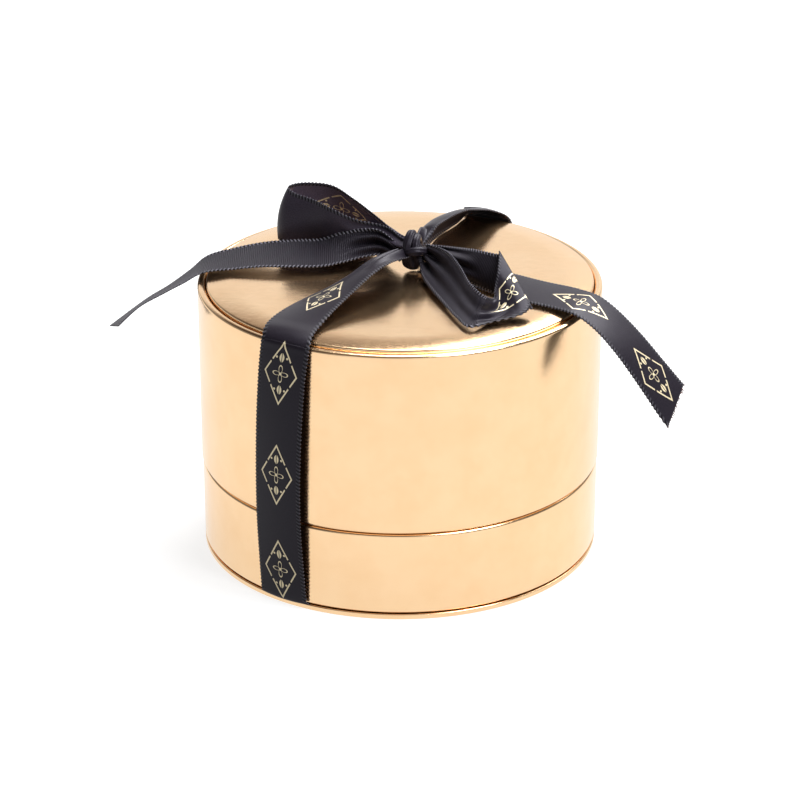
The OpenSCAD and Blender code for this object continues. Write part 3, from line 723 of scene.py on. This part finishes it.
# Bands down the sides: height, turn from the front or back, and how far each edge stands off
frontBand = [
    [0.985, 32.2, 0, 0], [0.95, 32.5, 0.04, 0.02], [0.857, 33.2, 0.09, 0.04],
    [0.69, 34, 0.13, 0.06], [0.5, 34.6, 0.14, 0.06], [0.321, 34.8, 0.12, 0.05],
    [0.167, 34.5, 0.07, 0.03], [0.071, 34.3, 0.03, 0.01], [0.032, 34.2, 0, 0],
    [0.0235, 34.2, -0.02, -0.02]]
backBand = [
    [0.985, 27.2, 0, 0], [0.95, 27.8, 0.02, 0.02], [0.774, 30.3, 0.05, 0.05],
    [0.536, 32.4, 0.06, 0.06], [0.298, 33.5, 0.05, 0.05], [0.119, 34.1, 0.02, 0.02],
    [0.032, 34.2, 0, 0], [0.0235, 34.2, -0.02, -0.02]]

ribbonSet = {"step": 0.2875, "columns": 36, "picot": 0.20, "pleats": 2.5, "pleatShare": 0.90,
             "gathered": 0.45, "pleatFull": 0.86, "taper": 0.7, "hold": 10.0, "skin": 0.28}


# Rows in millimetres: edge point, vector across, bulge and lead. The vector's length is the
# span; it is turned in plan and lifted by the rise.
def stations(rows):
    rows = np.asarray(rows, float)
    radius, width = box["radius"], box["ribbonWidth"]
    turn, rise, span = np.radians(rows[:, 3]), np.radians(rows[:, 4]), rows[:, 5] * width
    lead = rows[:, 7] if rows.shape[1] > 7 else 0 * span
    return np.stack([
        rows[:, 0] * radius, rows[:, 1] * radius, box["height"] + rows[:, 2] * width,
        span * np.cos(rise) * np.cos(turn), span * np.cos(rise) * np.sin(turn),
        span * np.sin(rise), rows[:, 6] * width, lead], axis=1)


# A band's line across is a chord of the box's round, and its bulge follows the round
def bandStations(rows, middle, side):
    rows = np.asarray(rows, float)
    r = box["radius"] + box["ribbonGap"] + box["ribbonThick"]
    half = math.asin(box["ribbonWidth"] / 2 / r)
    a = np.radians(middle - rows[:, 1]) + side * half
    b = np.radians(middle - rows[:, 1]) - side * half
    ra, rb = r + rows[:, 2] * box["ribbonWidth"], r + rows[:, 3] * box["ribbonWidth"]
    start = np.stack([ra * np.cos(a), ra * np.sin(a)], axis=1)
    stop = np.stack([rb * np.cos(b), rb * np.sin(b)], axis=1)
    bulge = np.full(len(rows), -side * r * (1 - math.cos(half)))
    return np.column_stack([start, rows[:, 0] * box["height"], stop - start, 0 * bulge, bulge,
                            0 * bulge])


# Smooth curve through all the rows (Catmull-Rom), with equal steps between them
def smoothRows(rows, steps):
    n = len(rows)
    i = np.arange(n - 1)
    a, b = rows[np.maximum(i - 1, 0)][:, None], rows[i][:, None]
    c, d = rows[i + 1][:, None], rows[np.minimum(i + 2, n - 1)][:, None]
    s = (np.arange(steps) / steps)[None, :, None]
    curve = 0.5 * (2 * b + (c - a) * s + (2 * a - 5 * b + 4 * c - d) * s ** 2
                   + (3 * b - a - 3 * c + d) * s ** 3)
    return np.concatenate([curve.reshape(-1, rows.shape[1]), rows[-1:]])


# The middle of each row: its edge point and half its vector across
def middleOf(rows):
    return rows[:, :3] + rows[:, 3:6] / 2


# The same curve, with rows an even distance apart along the ribbon's middle
def evenRows(rows, step):
    fine = smoothRows(rows, 60)
    way = distanceAlong(middleOf(fine))
    count = max(int(round(way[-1] / step)), 2)
    at = np.linspace(0, way[-1], count + 1)
    return np.stack([np.interp(at, way, fine[:, k]) for k in range(fine.shape[1])], axis=1), at


# Distance from the first point to each, as a sum of the steps
def distanceAlong(points):
    return np.concatenate([[0], np.cumsum(np.linalg.norm(np.diff(points, axis=0), axis=1))])


# Vectors over their lengths
def unit(v):
    return v / np.maximum(np.linalg.norm(v, axis=-1, keepdims=True), 1e-12)


# Positions across the ribbon, from 0 to 1, closer together in the woven edges
def acrossShares(columns):
    rim = satinSet["picotWide"] / box["ribbonWidth"]
    inside = np.linspace(rim, 1 - rim, columns - 4)
    return np.concatenate([[0, rim / 2], inside, [1 - rim / 2, 1]])


# Height of the pleats in each row, so that the cloth across the row comes to the wanted width:
# the mean over the row of the root of span squared plus (height times slope) squared. It is
# found by halving.
def pleatHeights(span, slope, wanted):
    low, high = np.zeros(len(span)), np.full(len(span), 6.0)
    for _ in range(24):
        middle = (low + high) / 2
        reach = np.sqrt(span[:, None] ** 2 + (middle[:, None] * slope) ** 2).mean(axis=1)
        low = np.where(reach < wanted, middle, low)
        high = np.where(reach < wanted, high, middle)
    return (low + high) / 2


# Middle surface of a stretch of ribbon: the line across each row; its bulge, a parabola; and the
# pleats, a sine that tapers to nothing at both edges and takes up most of what cloth the
# narrowed row has too much
def ribbonSurface(rows, phase):
    pleats = ribbonSet["pleats"]
    s = acrossShares(ribbonSet["columns"])
    across = rows[:, 3:6]
    span = np.linalg.norm(across, axis=1)
    # What the bulge takes up of the cloth, as for a flat arch
    arch = span * (1 + 8 / 3 * (rows[:, 6] / np.maximum(span, 1)) ** 2)
    share = arch / box["ribbonWidth"]
    way = np.gradient(middleOf(rows), axis=0)
    facing = unit(np.cross(way, across))

    def shape(s):
        return np.sin(2 * np.pi * pleats * s + phase) * np.sin(np.pi * s) ** ribbonSet["taper"]
    fine = np.linspace(0, 1, 200)
    slope = np.gradient(shape(fine), fine)[None, :]
    gather = ease(-share, -ribbonSet["pleatShare"], -ribbonSet["gathered"])
    wanted = box["ribbonWidth"] * ribbonSet["pleatFull"] - arch + span
    wanted = span * (1 - gather) + wanted * gather
    height = pleatHeights(span, slope, np.maximum(wanted, span))
    rise = rows[:, 6:7] * 4 * s * (1 - s) + height[:, None] * shape(s)
    flat = rows[:, None, :3] + across[:, None] * s[None, :, None]
    return flat + facing[:, None] * rise[..., None]


# Place on the cloth for each row: true to size round each ornament, and eased between them
def clothRows(along, prints):
    if not len(prints):
        return along
    pitch, hold = satinSet["motifPitch"], ribbonSet["hold"]
    count = np.arange(len(prints))
    true = np.stack([np.asarray(prints) - hold, np.asarray(prints) + hold], axis=1).ravel()
    wanted = np.stack([(count + 0.5) * pitch - hold, (count + 0.5) * pitch + hold], axis=1).ravel()
    true = np.concatenate([[true[0] - 300], true, [true[-1] + 300]])
    wanted = np.concatenate([[wanted[0] - 300], wanted, [wanted[-1] + 300]])
    return np.interp(along, true, wanted)


# Solid strip from its middle surface: both faces, both woven edges and both ends. A smooth face
# carries print only in the rows within half a repeat of a listed ornament. Both faces are ribbed
# up to the distance turned, which stands in for cloth that turns over out of sight. Each face
# lies half the thickness from the middle surface, along its normal, and both edges go out and
# in by a sine of the distance along.
def ribbonSkin(surface, along, sides, prints, lean, turned):
    rows, columns = surface.shape[:2]
    s = acrossShares(columns)
    surface = surface.copy()
    reach = clothRows(along, prints)[:, None] + np.zeros((1, columns))
    reach = reach + np.reshape(lean, (-1, 1)) * (s[None, :] - 0.5)
    tooth = np.sin(2 * np.pi * reach[:, [0, -1]] / satinSet["picotPitch"]) * ribbonSet["picot"]
    for column, edge, inner in ((0, 0, 1), (1, -1, -2)):
        way = unit(surface[:, edge] - surface[:, inner])
        surface[:, edge] += way * tooth[:, column:column + 1]
    normal = unit(np.cross(np.gradient(surface, axis=0), np.gradient(surface, axis=1)))
    half = normal * ribbonSet["skin"] / 2
    up, down = surface + half, surface - half
    points = np.concatenate([up.reshape(-1, 3), down.reshape(-1, 3)])
    count = rows * columns
    top = gridFaces(rows, columns)
    bottom = top[:, ::-1] + count
    i = np.arange(rows - 1)
    left = np.stack([i * columns, (i + 1) * columns], axis=1)
    right = left + columns - 1
    j = np.arange(columns - 1)
    first = np.stack([j, j + 1], axis=1)
    last = first + (rows - 1) * columns

    def wall(pair):
        return np.column_stack([pair[:, 0], pair[:, 1], pair[:, 1] + count, pair[:, 0] + count])
    walls = np.concatenate([wall(left)[:, ::-1], wall(right), wall(first), wall(last)[:, ::-1]])
    faces = np.concatenate([top, bottom, walls])
    middles = np.asarray(prints if len(prints) else [-1000.0], float)
    near = np.abs(along[:-1, None] - middles[None, :]).min(axis=1) < satinSet["motifPitch"] / 2
    early = along[1:] <= turned
    ribbed = sideSlots["ribbed"][0]
    slots = [np.repeat(np.where(early, ribbed, np.where(near, *sideSlots[side])), columns - 1)
             for side in sides]
    slots = np.concatenate(slots + [np.full(len(walls), ribbed)])
    across = np.broadcast_to((s * box["ribbonWidth"])[None, :], (rows, columns))
    cloth = np.stack([reach, across], axis=-1).reshape(-1, 2)
    return points, outward(points, faces), slots, np.concatenate([cloth, cloth])


# A strip of satin as a piece, with the satins in its slots
def ribbonPiece(name, surface, along, sides, body, prints, lean=0.0, turned=0.0):
    points, faces, slots, cloth = ribbonSkin(surface, along, sides, prints, lean, turned)
    return makePiece(name, points, faces, satinMaterials, body, slots, cloth)


# Which side of the cloth shows on each face, where the middles of the ornaments fall along the
# run of ribbon, how its pleats are placed, and how far both its faces are ribbed
ribbonPieces = {
    "front": {"sides": ("ribbed", "printed"), "prints": [34.6, 71.0, 102.5, 133.0], "phase": 0.4},
    "back": {"sides": ("printed", "ribbed"), "prints": [30.0, 61.0, 92.0], "phase": 1.3},
    "left_loop": {"sides": ("lit", "soft"), "prints": [66.0], "phase": 0.2},
    "right_loop": {"sides": ("printed", "ribbed"), "prints": [57.8], "phase": 0.9,
                   "turned": 44.5},
    "left_tail": {"sides": ("plain", "ribbed"), "prints": [], "phase": 0.0},
    "right_tail": {"sides": ("printed", "ribbed"), "prints": [52.5, 82.5], "phase": 2.0}}


# A run of ribbon, made in one piece, or in two where rows for a band follow: its pieces with
# their lengths, and its middle surface
def ribbonRun(names, setting, rows, band=None):
    rows, ends = stations(rows), [0]
    if band is not None:
        rows = np.concatenate([rows, band])
    even, along = evenRows(rows, ribbonSet["step"])
    surface = ribbonSurface(even, setting["phase"])
    if band is not None:
        over = middleOf(even) - middleOf(band)[0]
        ends.append(int(np.argmin(np.linalg.norm(over, axis=1))))
    ends.append(len(along) - 1)
    made = []
    for name, first, last in zip(names, ends, ends[1:]):
        part = slice(first, last + 1)
        piece = ribbonPiece(name + "_satin", surface[part], along[part], setting["sides"], "bow",
                            setting["prints"], even[part, 7], setting.get("turned", 0.0))
        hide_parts(name)
        made.append((piece, along[last] - along[first]))
    return made, surface


tight, loose = [], {}
for side, strap, band in (("front", frontStrap, bandStations(frontBand, 270, 1)),
                          ("back", backStrap, bandStations(backBand, 90, -1))):
    names = ("ribbon_" + side + "_strap", "ribbon_" + side + "_band")
    tight += ribbonRun(names, ribbonPieces[side], strap, band)[0]
for name, rows in (("left_loop", leftLoop), ("right_loop", rightLoop), ("left_tail", leftTail),
                   ("right_tail", rightTail)):
    (loose[name],), lastSurface = ribbonRun(["ribbon_" + name], ribbonPieces[name], rows)

# Threads that stand out of the right tail's cut end, each a thin spike
fraySet = {"count": 42, "longest": 1.9, "shortest": 0.4, "thick": 0.34, "stray": 0.40,
           "root": 0.2, "seed": 5}


# Each thread is a three-sided spike. Its tip lies a chance length from the cloth's end, the
# way that the ribbon goes, leant by chance shares sideways and out of the cloth.
def frayPiece(surface):
    f = fraySet
    dice = np.random.default_rng(f["seed"])
    at = np.sort(dice.uniform(0.01, 0.99, f["count"])) * (surface.shape[1] - 1)
    column = np.minimum(at.astype(int), surface.shape[1] - 2)
    share = (at - column)[:, None]

    def across(row):
        return row[column] * (1 - share) + row[column + 1] * share
    start, before = across(surface[-1]), across(surface[-4])
    way = unit(start - before)
    side = unit(surface[-1, column + 1] - surface[-1, column])
    out = unit(np.cross(way, side))
    lean = dice.normal(0, f["stray"], (f["count"], 2))
    long = dice.uniform(f["shortest"], f["longest"], (f["count"], 1))
    tip = start + unit(way + side * lean[:, :1] + out * lean[:, 1:]) * long
    root = start - way * f["root"]
    half = f["thick"] / 2
    points = np.stack([root + side * half, root - side * half, root + out * half, tip], axis=1)
    faces = np.array([[0, 1, 2], [0, 3, 1], [1, 3, 2], [2, 3, 0]])
    a, b, c = (points[:1, faces[:, k]] for k in range(3))
    middle = points[0].mean(axis=0)
    if ((a[0] - middle) * np.cross(b[0] - middle, c[0] - middle)).sum() < 0:
        faces = faces[:, ::-1]
    faces = (faces[None] + 4 * np.arange(f["count"])[:, None, None]).reshape(-1, 3)
    return makePiece("ribbon_right_tail_fray", points.reshape(-1, 3), faces, [threadMaterial],
                     "bow")


fray = frayPiece(lastSurface)
print("stage 5: ribbon lengths", [round(float(length), 1) for _, length in
                                  tight + list(loose.values())])

# Ribbon held flat under the base, its ends cut to the base's round
underSet = {"turn": -34.2, "height": 1.75, "rows": 161}


# Each line along the strip ends on the foot's circle: half its length is the root of the
# circle's radius squared less the line's distance from the middle squared
def underSurface():
    across = (acrossShares(ribbonSet["columns"]) - 0.5) * box["ribbonWidth"]
    half = np.sqrt(box["baseRadius"] ** 2 - across ** 2) - 0.05
    way = np.linspace(-1, 1, underSet["rows"])[:, None] * half[None, :]
    turn = math.radians(underSet["turn"])
    x = across[None, :] * math.cos(turn) - way * math.sin(turn)
    y = across[None, :] * math.sin(turn) + way * math.cos(turn)
    return np.stack([x, y, np.full_like(x, underSet["height"])], axis=-1)


underAlong = np.linspace(0, 2 * box["baseRadius"], underSet["rows"])
underPiece = ribbonPiece("ribbon_under_base_satin", underSurface(), underAlong,
                         ("printed", "ribbed"), "base", [13.0, 44.0, 75.0, 106.0])
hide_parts("ribbon_under_base")

# Knot: a gathered core, with rolls of gathered ribbon laid over it. The core's rings give height
# above the lid, half width, half depth and how far the ring stands to the side, all as shares of
# the ribbon's width.
knotSet = {"middle": (3.9, 2.7, 5.5), "turns": 96, "pleat": 0.20, "pleats": 8, "twist": 2.2,
           "climb": 0.35, "rollTurns": 60, "crease": 0.22, "drift": 0.22, "sway": 0.9,
           "creaseMiddle": 0.6}
knotRings = [
    [0.05, 0.10, 0.11, 0.00], [0.11, 0.18, 0.19, 0.00], [0.24, 0.205, 0.24, 0.00],
    [0.38, 0.195, 0.24, 0.00], [0.50, 0.16, 0.20, -0.01], [0.57, 0.08, 0.11, -0.02]]
# Rolls: creases, side of the cloth shown, and a middle line in millimetres on the lid, with
# half the roll's size along the knot's face and out of it
knotRolls = [
    (5, "plain", [
        [1.9, -0.2, 3.8, 0.8, 0.5], [1.9, -1.2, 6.4, 1.1, 0.7], [2, -1, 8.6, 1.2, 0.8],
        [2.4, 0.3, 10.4, 1.3, 0.9], [3, 2.2, 11.6, 1.2, 0.9], [3.7, 4, 11.5, 1.1, 0.8],
        [4.2, 5.8, 9.6, 1.1, 0.7], [4.5, 6.8, 6.8, 1, 0.6], [4.5, 6.6, 4, 0.7, 0.4]]),
    (5, "plain", [
        [4.6, -0.4, 4.4, 0.8, 0.5], [4.6, -1.4, 7, 1, 0.7], [4.7, -0.8, 8.8, 1.1, 0.7],
        [4.8, 0.8, 10.2, 1.1, 0.8], [5, 3, 10.6, 1.2, 0.8], [5.4, 5, 9.6, 1.1, 0.7],
        [5.8, 6.4, 7, 1, 0.6], [5.8, 6.4, 4.4, 0.6, 0.4]]),
    (6, "plain", [
        [0.9, -0.6, 6.2, 0.7, 0.4], [2.1, -2, 7.3, 1.1, 0.7], [3.9, -2.5, 7.8, 1.2, 0.8],
        [5.8, -2.1, 7.8, 1.2, 0.8], [7.1, -0.8, 7.5, 1.1, 0.7], [7.8, 1, 7.1, 0.9, 0.6],
        [7.7, 2.8, 6.8, 0.6, 0.4]]),
    (4, "ribbed", [
        [5.8, 0.3, 5.4, 0.7, 0.4], [6.3, -0.9, 4, 1, 0.6], [6.9, -1.3, 2.5, 1, 0.6],
        [7.3, -1, 1.2, 0.8, 0.4]])]


# Closes a run of rings with a fan at each end
def capped(rings):
    count, turns = rings.shape[:2]
    ends = np.stack([rings[0].mean(axis=0), rings[-1].mean(axis=0)])
    points = np.concatenate([rings.reshape(-1, 3), ends])
    j, last = np.arange(turns), count * turns
    low = np.column_stack([(j + 1) % turns, j, 0 * j + last, 0 * j + last])
    high = np.column_stack([j + last - turns, (j + 1) % turns + last - turns, 0 * j + last + 1,
                            0 * j + last + 1])
    faces = outward(points, np.concatenate([gridFaces(count, turns, False, True), low, high]))
    fans = faces[-2 * turns:]
    fans = fans[:, 1:] if fans[0, 0] == fans[0, 1] else fans[:, :3]
    return points, faces[:-2 * turns].tolist() + fans.tolist()


# Cloth map for such rings: millimetres along, and a place across that stays off the woven edges
def ringCloth(along, turn):
    cloth = np.stack(np.broadcast_arrays(along, 8 + 6 * np.cos(turn)), axis=-1)
    return np.concatenate([cloth.reshape(-1, 2), cloth[0, :1], cloth[-1, :1]])


# Creases round a ring: one plus the share times the bare size of a sine, less its middle
def creased(flow, share):
    return 1 + share * (np.abs(np.sin(flow)) - knotSet["creaseMiddle"])


# Rings round an upright line: half width times the cosine of the turn, half depth times
# its sine, both creased, with creases that climb round the knot
def knotCore():
    k = knotSet
    rings = smoothRows(np.asarray(knotRings, float), 10)
    turn = np.linspace(0, 2 * np.pi, k["turns"], endpoint=False)[None, :]
    z, wide, deep, side = (rings[:, n:n + 1] * box["ribbonWidth"] for n in range(4))
    flow = k["pleats"] * turn + k["twist"] * np.sin(turn) + z * k["climb"]
    swell = creased(flow / 2, k["pleat"] * ease(z, 1.0, 2.6) * ease(-z, -9, -7))
    x = k["middle"][0] + side + wide * swell * np.cos(turn)
    y = k["middle"][1] + deep * swell * np.sin(turn)
    return np.stack([x, y, box["height"] + z + 0 * turn], axis=-1), ringCloth(z, turn)


# Each ring of a roll stands across its middle line, and its creases drift round along it
def knotRoll(creases, line):
    k = knotSet
    rows = smoothRows(np.asarray(line, float), 8)
    middle = rows[:, :3]
    way = unit(np.gradient(middle, axis=0))
    out = middle - k["middle"]
    out = unit(out - way * (out * way).sum(axis=1, keepdims=True))
    side = np.cross(way, out)
    along = distanceAlong(middle)[:, None]
    turn = np.linspace(0, 2 * np.pi, k["rollTurns"], endpoint=False)[None, :]
    flow = creases * turn / 2 + k["drift"] * along + 0.5 * np.sin(k["sway"] * along) * np.sin(turn)
    swell = creased(flow, k["crease"])
    wide, deep = rows[:, 3:4] * swell * np.cos(turn), rows[:, 4:5] * swell * np.sin(turn)
    rings = middle[:, None] + side[:, None] * wide[..., None] + out[:, None] * deep[..., None]
    return rings + (0, 0, box["height"]), ringCloth(along, turn)


# Core and rolls in one mesh, each of them closed
def knotPiece():
    parts = [(knotCore(), "plain")] + [(knotRoll(creases, line), side)
                                       for creases, side, line in knotRolls]
    places, faces, slots, cloths, start = [], [], [], [], 0
    for (rings, cloth), side in parts:
        points, skin = capped(rings)
        faces += [[corner + start for corner in face] for face in skin]
        slots += [sideSlots[side][1]] * len(skin)
        places.append(points)
        cloths.append(cloth)
        start += len(points)
    return makePiece("ribbon_knot_satin", np.concatenate(places), faces, satinMaterials, "bow",
                     slots, np.concatenate(cloths))


knot = knotPiece()
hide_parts("ribbon_knot")
print("stage 6: under strip and knot")

# Pad: velvet over foam on a card. The velvet is puffed by a cloth simulation. Both then dip
# softly towards slits for a ring, for two ends of a chain and for the pull tab, and are cut.
padSet = {"radius": 54.9, "low": 4.1, "cardTop": 5.6, "edgeTop": 19.2, "crown": 2.4,
          "shoulder": 4.0, "velvet": 0.6, "gap": 0.35, "hollow": 1.5, "voxel": 1.6,
          "pressure": 4.0, "frames": 20, "cap": 0.5, "start": 0.35, "segments": 128,
          "dip": 1.0, "dipWide": 2.6, "slitWide": 1.6, "ringSlit": 30.0, "slitDeep": 9.0,
          "chainSlit": 9.0, "edgeSlit": 43.0, "tabWide": 12.0, "tabThick": 0.7, "tabDeep": 8.0,
          "tabHigh": 9.0, "tabGap": 0.3, "over": 4.0, "tabLean": 1.1}
padTop = padSet["edgeTop"] + padSet["crown"]
crownRadius = (padSet["radius"] ** 2 + padSet["crown"] ** 2) / (2 * padSet["crown"])


# Half a pad seen from the side, drawn in by inside: the crown is part of a large circle,
# the shoulder part of a small one that touches it, and the rest is straight
def padProfile(inside, low):
    p = padSet
    middle = padTop - crownRadius
    x = p["radius"] - p["shoulder"]
    z = middle + math.sqrt((crownRadius - p["shoulder"]) ** 2 - x ** 2)
    tip = math.degrees(math.atan2(z - middle, x))
    return route(
        arc(0, middle, crownRadius - inside, 90, tip, 40),
        arc(x, z, p["shoulder"] - inside, tip, 0, 12), 10, (p["radius"] - inside, low), 30,
        (0, low))


# How far the top dips at a place: e to the power of minus d, where d is the distance to the
# nearest slit over dipWide, to the power of 1.5
def padDip(x, y):
    p = padSet

    def away(cx, cy, halfX, halfY):
        return np.hypot(np.maximum(np.abs(x - cx) - halfX, 0),
                        np.maximum(np.abs(y - cy) - halfY, 0))
    edge, chain = p["edgeSlit"], p["chainSlit"] / 2
    near = np.minimum.reduce([away(0, 0, p["ringSlit"] / 2, 0), away(edge, 0, 0, chain),
                              away(-edge, 0, 0, chain), away(0, edge, p["tabWide"] / 2, 0)])
    return p["dip"] * np.exp(-(near / p["dipWide"]) ** 1.5)


# A mesh's points in millimetres
def meshPlaces(mesh):
    places = np.empty(len(mesh.vertices) * 3)
    mesh.vertices.foreach_get("co", places)
    return places.reshape(-1, 3) / mm


# Moves a mesh's points to places in millimetres
def setPlaces(mesh, places):
    mesh.vertices.foreach_set("co", (places * mm).ravel())
    mesh.update()


# Makes what the modifiers give the piece's own mesh
def freeze(thing, *modifiers):
    bpy.context.view_layer.update()
    graph = bpy.context.evaluated_depsgraph_get()
    done = bpy.data.meshes.new_from_object(thing.evaluated_get(graph))
    for modifier in modifiers:
        thing.modifiers.remove(modifier)
    thing.data = done


# Gives a piece an even closed skin, with faces of about a voxel
def remeshed(thing, voxel):
    modifier = thing.modifiers.new("voxels", "REMESH")
    modifier.mode = "VOXEL"
    modifier.voxel_size = voxel * mm
    freeze(thing, modifier)


# Blows the piece up a little as cloth, and holds each point within the cap
def puff(thing, cap):
    start = meshPlaces(thing.data)
    modifier = thing.modifiers.new("puff", "CLOTH")
    cloth = modifier.settings
    cloth.quality = 5
    cloth.mass = 0.2
    cloth.tension_stiffness = 20
    cloth.compression_stiffness = 20
    cloth.bending_stiffness = 0.5
    cloth.use_pressure = True
    cloth.uniform_pressure_force = padSet["pressure"]
    cloth.effector_weights.gravity = 0
    modifier.point_cache.frame_start = 1
    modifier.point_cache.frame_end = padSet["frames"]
    for step in range(1, padSet["frames"] + 1):
        scene.frame_set(step)
    freeze(thing, modifier)
    scene.frame_set(1)
    move = meshPlaces(thing.data) - start
    far = np.linalg.norm(move, axis=1, keepdims=True)
    setPlaces(thing.data, start + move * np.minimum(1, cap / np.maximum(far, 1e-9)))


# Boxes in one mesh, each from its middle and its three sizes
def cutter(places):
    soup = bmesh.new()
    for x, y, z, wide, long, high in places:
        made = bmesh.ops.create_cube(soup, size=1)["verts"]
        bmesh.ops.scale(soup, vec=Vector((wide, long, high)) * mm, verts=made)
        bmesh.ops.translate(soup, vec=Vector((x, y, z)) * mm, verts=made)
    mesh = bpy.data.meshes.new("cutter")
    soup.to_mesh(mesh)
    soup.free()
    return placed("cutter", mesh)


# Takes the tool's volume out of the piece
def cutAway(thing, tool):
    modifier = thing.modifiers.new("cut", "BOOLEAN")
    modifier.operation = "DIFFERENCE"
    modifier.solver = "EXACT"
    modifier.object = tool
    freeze(thing, modifier)


# Boxes where the ring, the two chain ends and the tab go in
def padSlits():
    p = padSet
    high, tabHigh = p["slitDeep"] + p["over"], p["tabDeep"] + p["over"]
    z = padTop - p["slitDeep"] + high / 2
    tabZ = padTop - p["tabDeep"] - p["tabGap"] + tabHigh / 2
    return cutter([
        (0, 0, z, p["ringSlit"], p["slitWide"], high),
        (p["edgeSlit"], 0, z, p["slitWide"], p["chainSlit"], high),
        (-p["edgeSlit"], 0, z, p["slitWide"], p["chainSlit"], high),
        (0, p["edgeSlit"], tabZ, p["tabWide"] + 2 * p["tabGap"],
         p["tabThick"] + 2 * p["tabGap"], tabHigh)])


# The pad's profile round the axis, remeshed, puffed up where asked, held within its radius
# and its top, and lowered by the dip
def padSolid(name, inside, low, material, puffed):
    start = padSet["start"] if puffed else 0.0
    thing = lathe(name, padProfile(inside + start, low), padSet["segments"], material, "pad",
                  False)
    remeshed(thing, padSet["voxel"])
    if puffed:
        puff(thing, padSet["cap"])
        level = thing.modifiers.new("smooth", "SUBSURF")
        level.levels = 1
        level.render_levels = 1
        freeze(thing, level)
    places = meshPlaces(thing.data)
    r = np.hypot(places[:, 0], places[:, 1])
    most = padSet["radius"] - inside
    places[:, :2] *= np.minimum(1, most / np.maximum(r, 1e-9))[:, None]
    top = ease(places[:, 2], 10, 15)
    places[:, 2] = np.clip(places[:, 2], low, padTop - inside + 0.3)
    places[:, 2] -= top * padDip(places[:, 0], places[:, 1])
    setPlaces(thing.data, places)
    return thing


slits = padSlits()
foamPiece = padSolid("pad_foam_block", padSet["velvet"] + padSet["gap"], padSet["cardTop"],
                     foamMaterial, False)
inner = padSolid("pad_inside", padSet["velvet"] + padSet["gap"],
                 padSet["low"] - padSet["hollow"], foamMaterial, False)
velvetPiece = padSolid("pad_velvet_cover", 0.0, padSet["low"], velvetMaterial, True)
cutAway(velvetPiece, inner)
cutAway(velvetPiece, slits)
cutAway(foamPiece, slits)
for tool in (inner, slits):
    bpy.data.objects.remove(tool)
for piece, material in ((foamPiece, foamMaterial), (velvetPiece, velvetMaterial)):
    wear(piece, material)
    count = len(piece.data.polygons)
    piece.data.polygons.foreach_set("material_index", np.zeros(count, np.int32))
    piece.data.polygons.foreach_set("use_smooth", np.ones(count, bool))
    piece.data.set_sharp_from_angle(angle=math.radians(50))
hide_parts("pad_foam")
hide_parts("pad_velvet")
print("stage 7: pad", len(velvetPiece.data.polygons), "faces")


# Pull tab: ribbed ribbon folded double, with a round end, standing in its slit. It is a stack of
# flat rings: their half width follows a circle near the top, they thin towards the sides as
# the root of one less the share's fourth power, and above the pad they lean and curl a little.
def tabSkin():
    p = padSet
    half = p["tabWide"] / 2
    low, straight = padTop - p["tabDeep"], padTop + p["tabHigh"] - half
    heights = np.concatenate([np.linspace(low, straight, 30)[:-1],
                              straight + half * np.sin(np.linspace(0, 0.49 * np.pi, 24))])
    past = np.maximum(heights - straight, 0)
    wide = np.sqrt(np.maximum(half ** 2 - past ** 2, 0.02))
    share = np.linspace(-1, 1, 25)
    rows, around = len(heights), 2 * len(share)
    x = wide[:, None] * share[None, :]
    z = np.broadcast_to(heights[:, None], x.shape)
    free = ease(z, padTop - 1, padTop + p["tabHigh"])
    y = p["edgeSlit"] + free * (p["tabLean"] + 0.25 * np.cos(np.pi * share)[None, :])
    thick = p["tabThick"] / 2 * (0.55 + 0.45 * np.sqrt(1 - share ** 4))[None, :]
    front, back = np.stack([x, y - thick, z], axis=-1), np.stack([x, y + thick, z], axis=-1)
    ring = np.concatenate([front, back[:, ::-1]], axis=1)
    points = ring.reshape(-1, 3)
    faces = gridFaces(rows, around, False, True)
    j = np.arange(len(share) - 1)
    low = np.column_stack([j, around - 1 - j, around - 2 - j, j + 1])
    faces = np.concatenate([faces, low, low[:, ::-1] + (rows - 1) * around])
    cloth = np.stack([ring[..., 2], 8 + ring[..., 0]], axis=-1).reshape(-1, 2)
    return points, outward(points, faces), cloth


tabPoints, tabFaces, tabCloth = tabSkin()
tabPiece = makePiece("pad_pull_tab_ribbon", tabPoints, tabFaces, [ribbedMaterial], "pad",
                     cloth=tabCloth)
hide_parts("pad_pull_tab")
print("stage 8: pull tab")
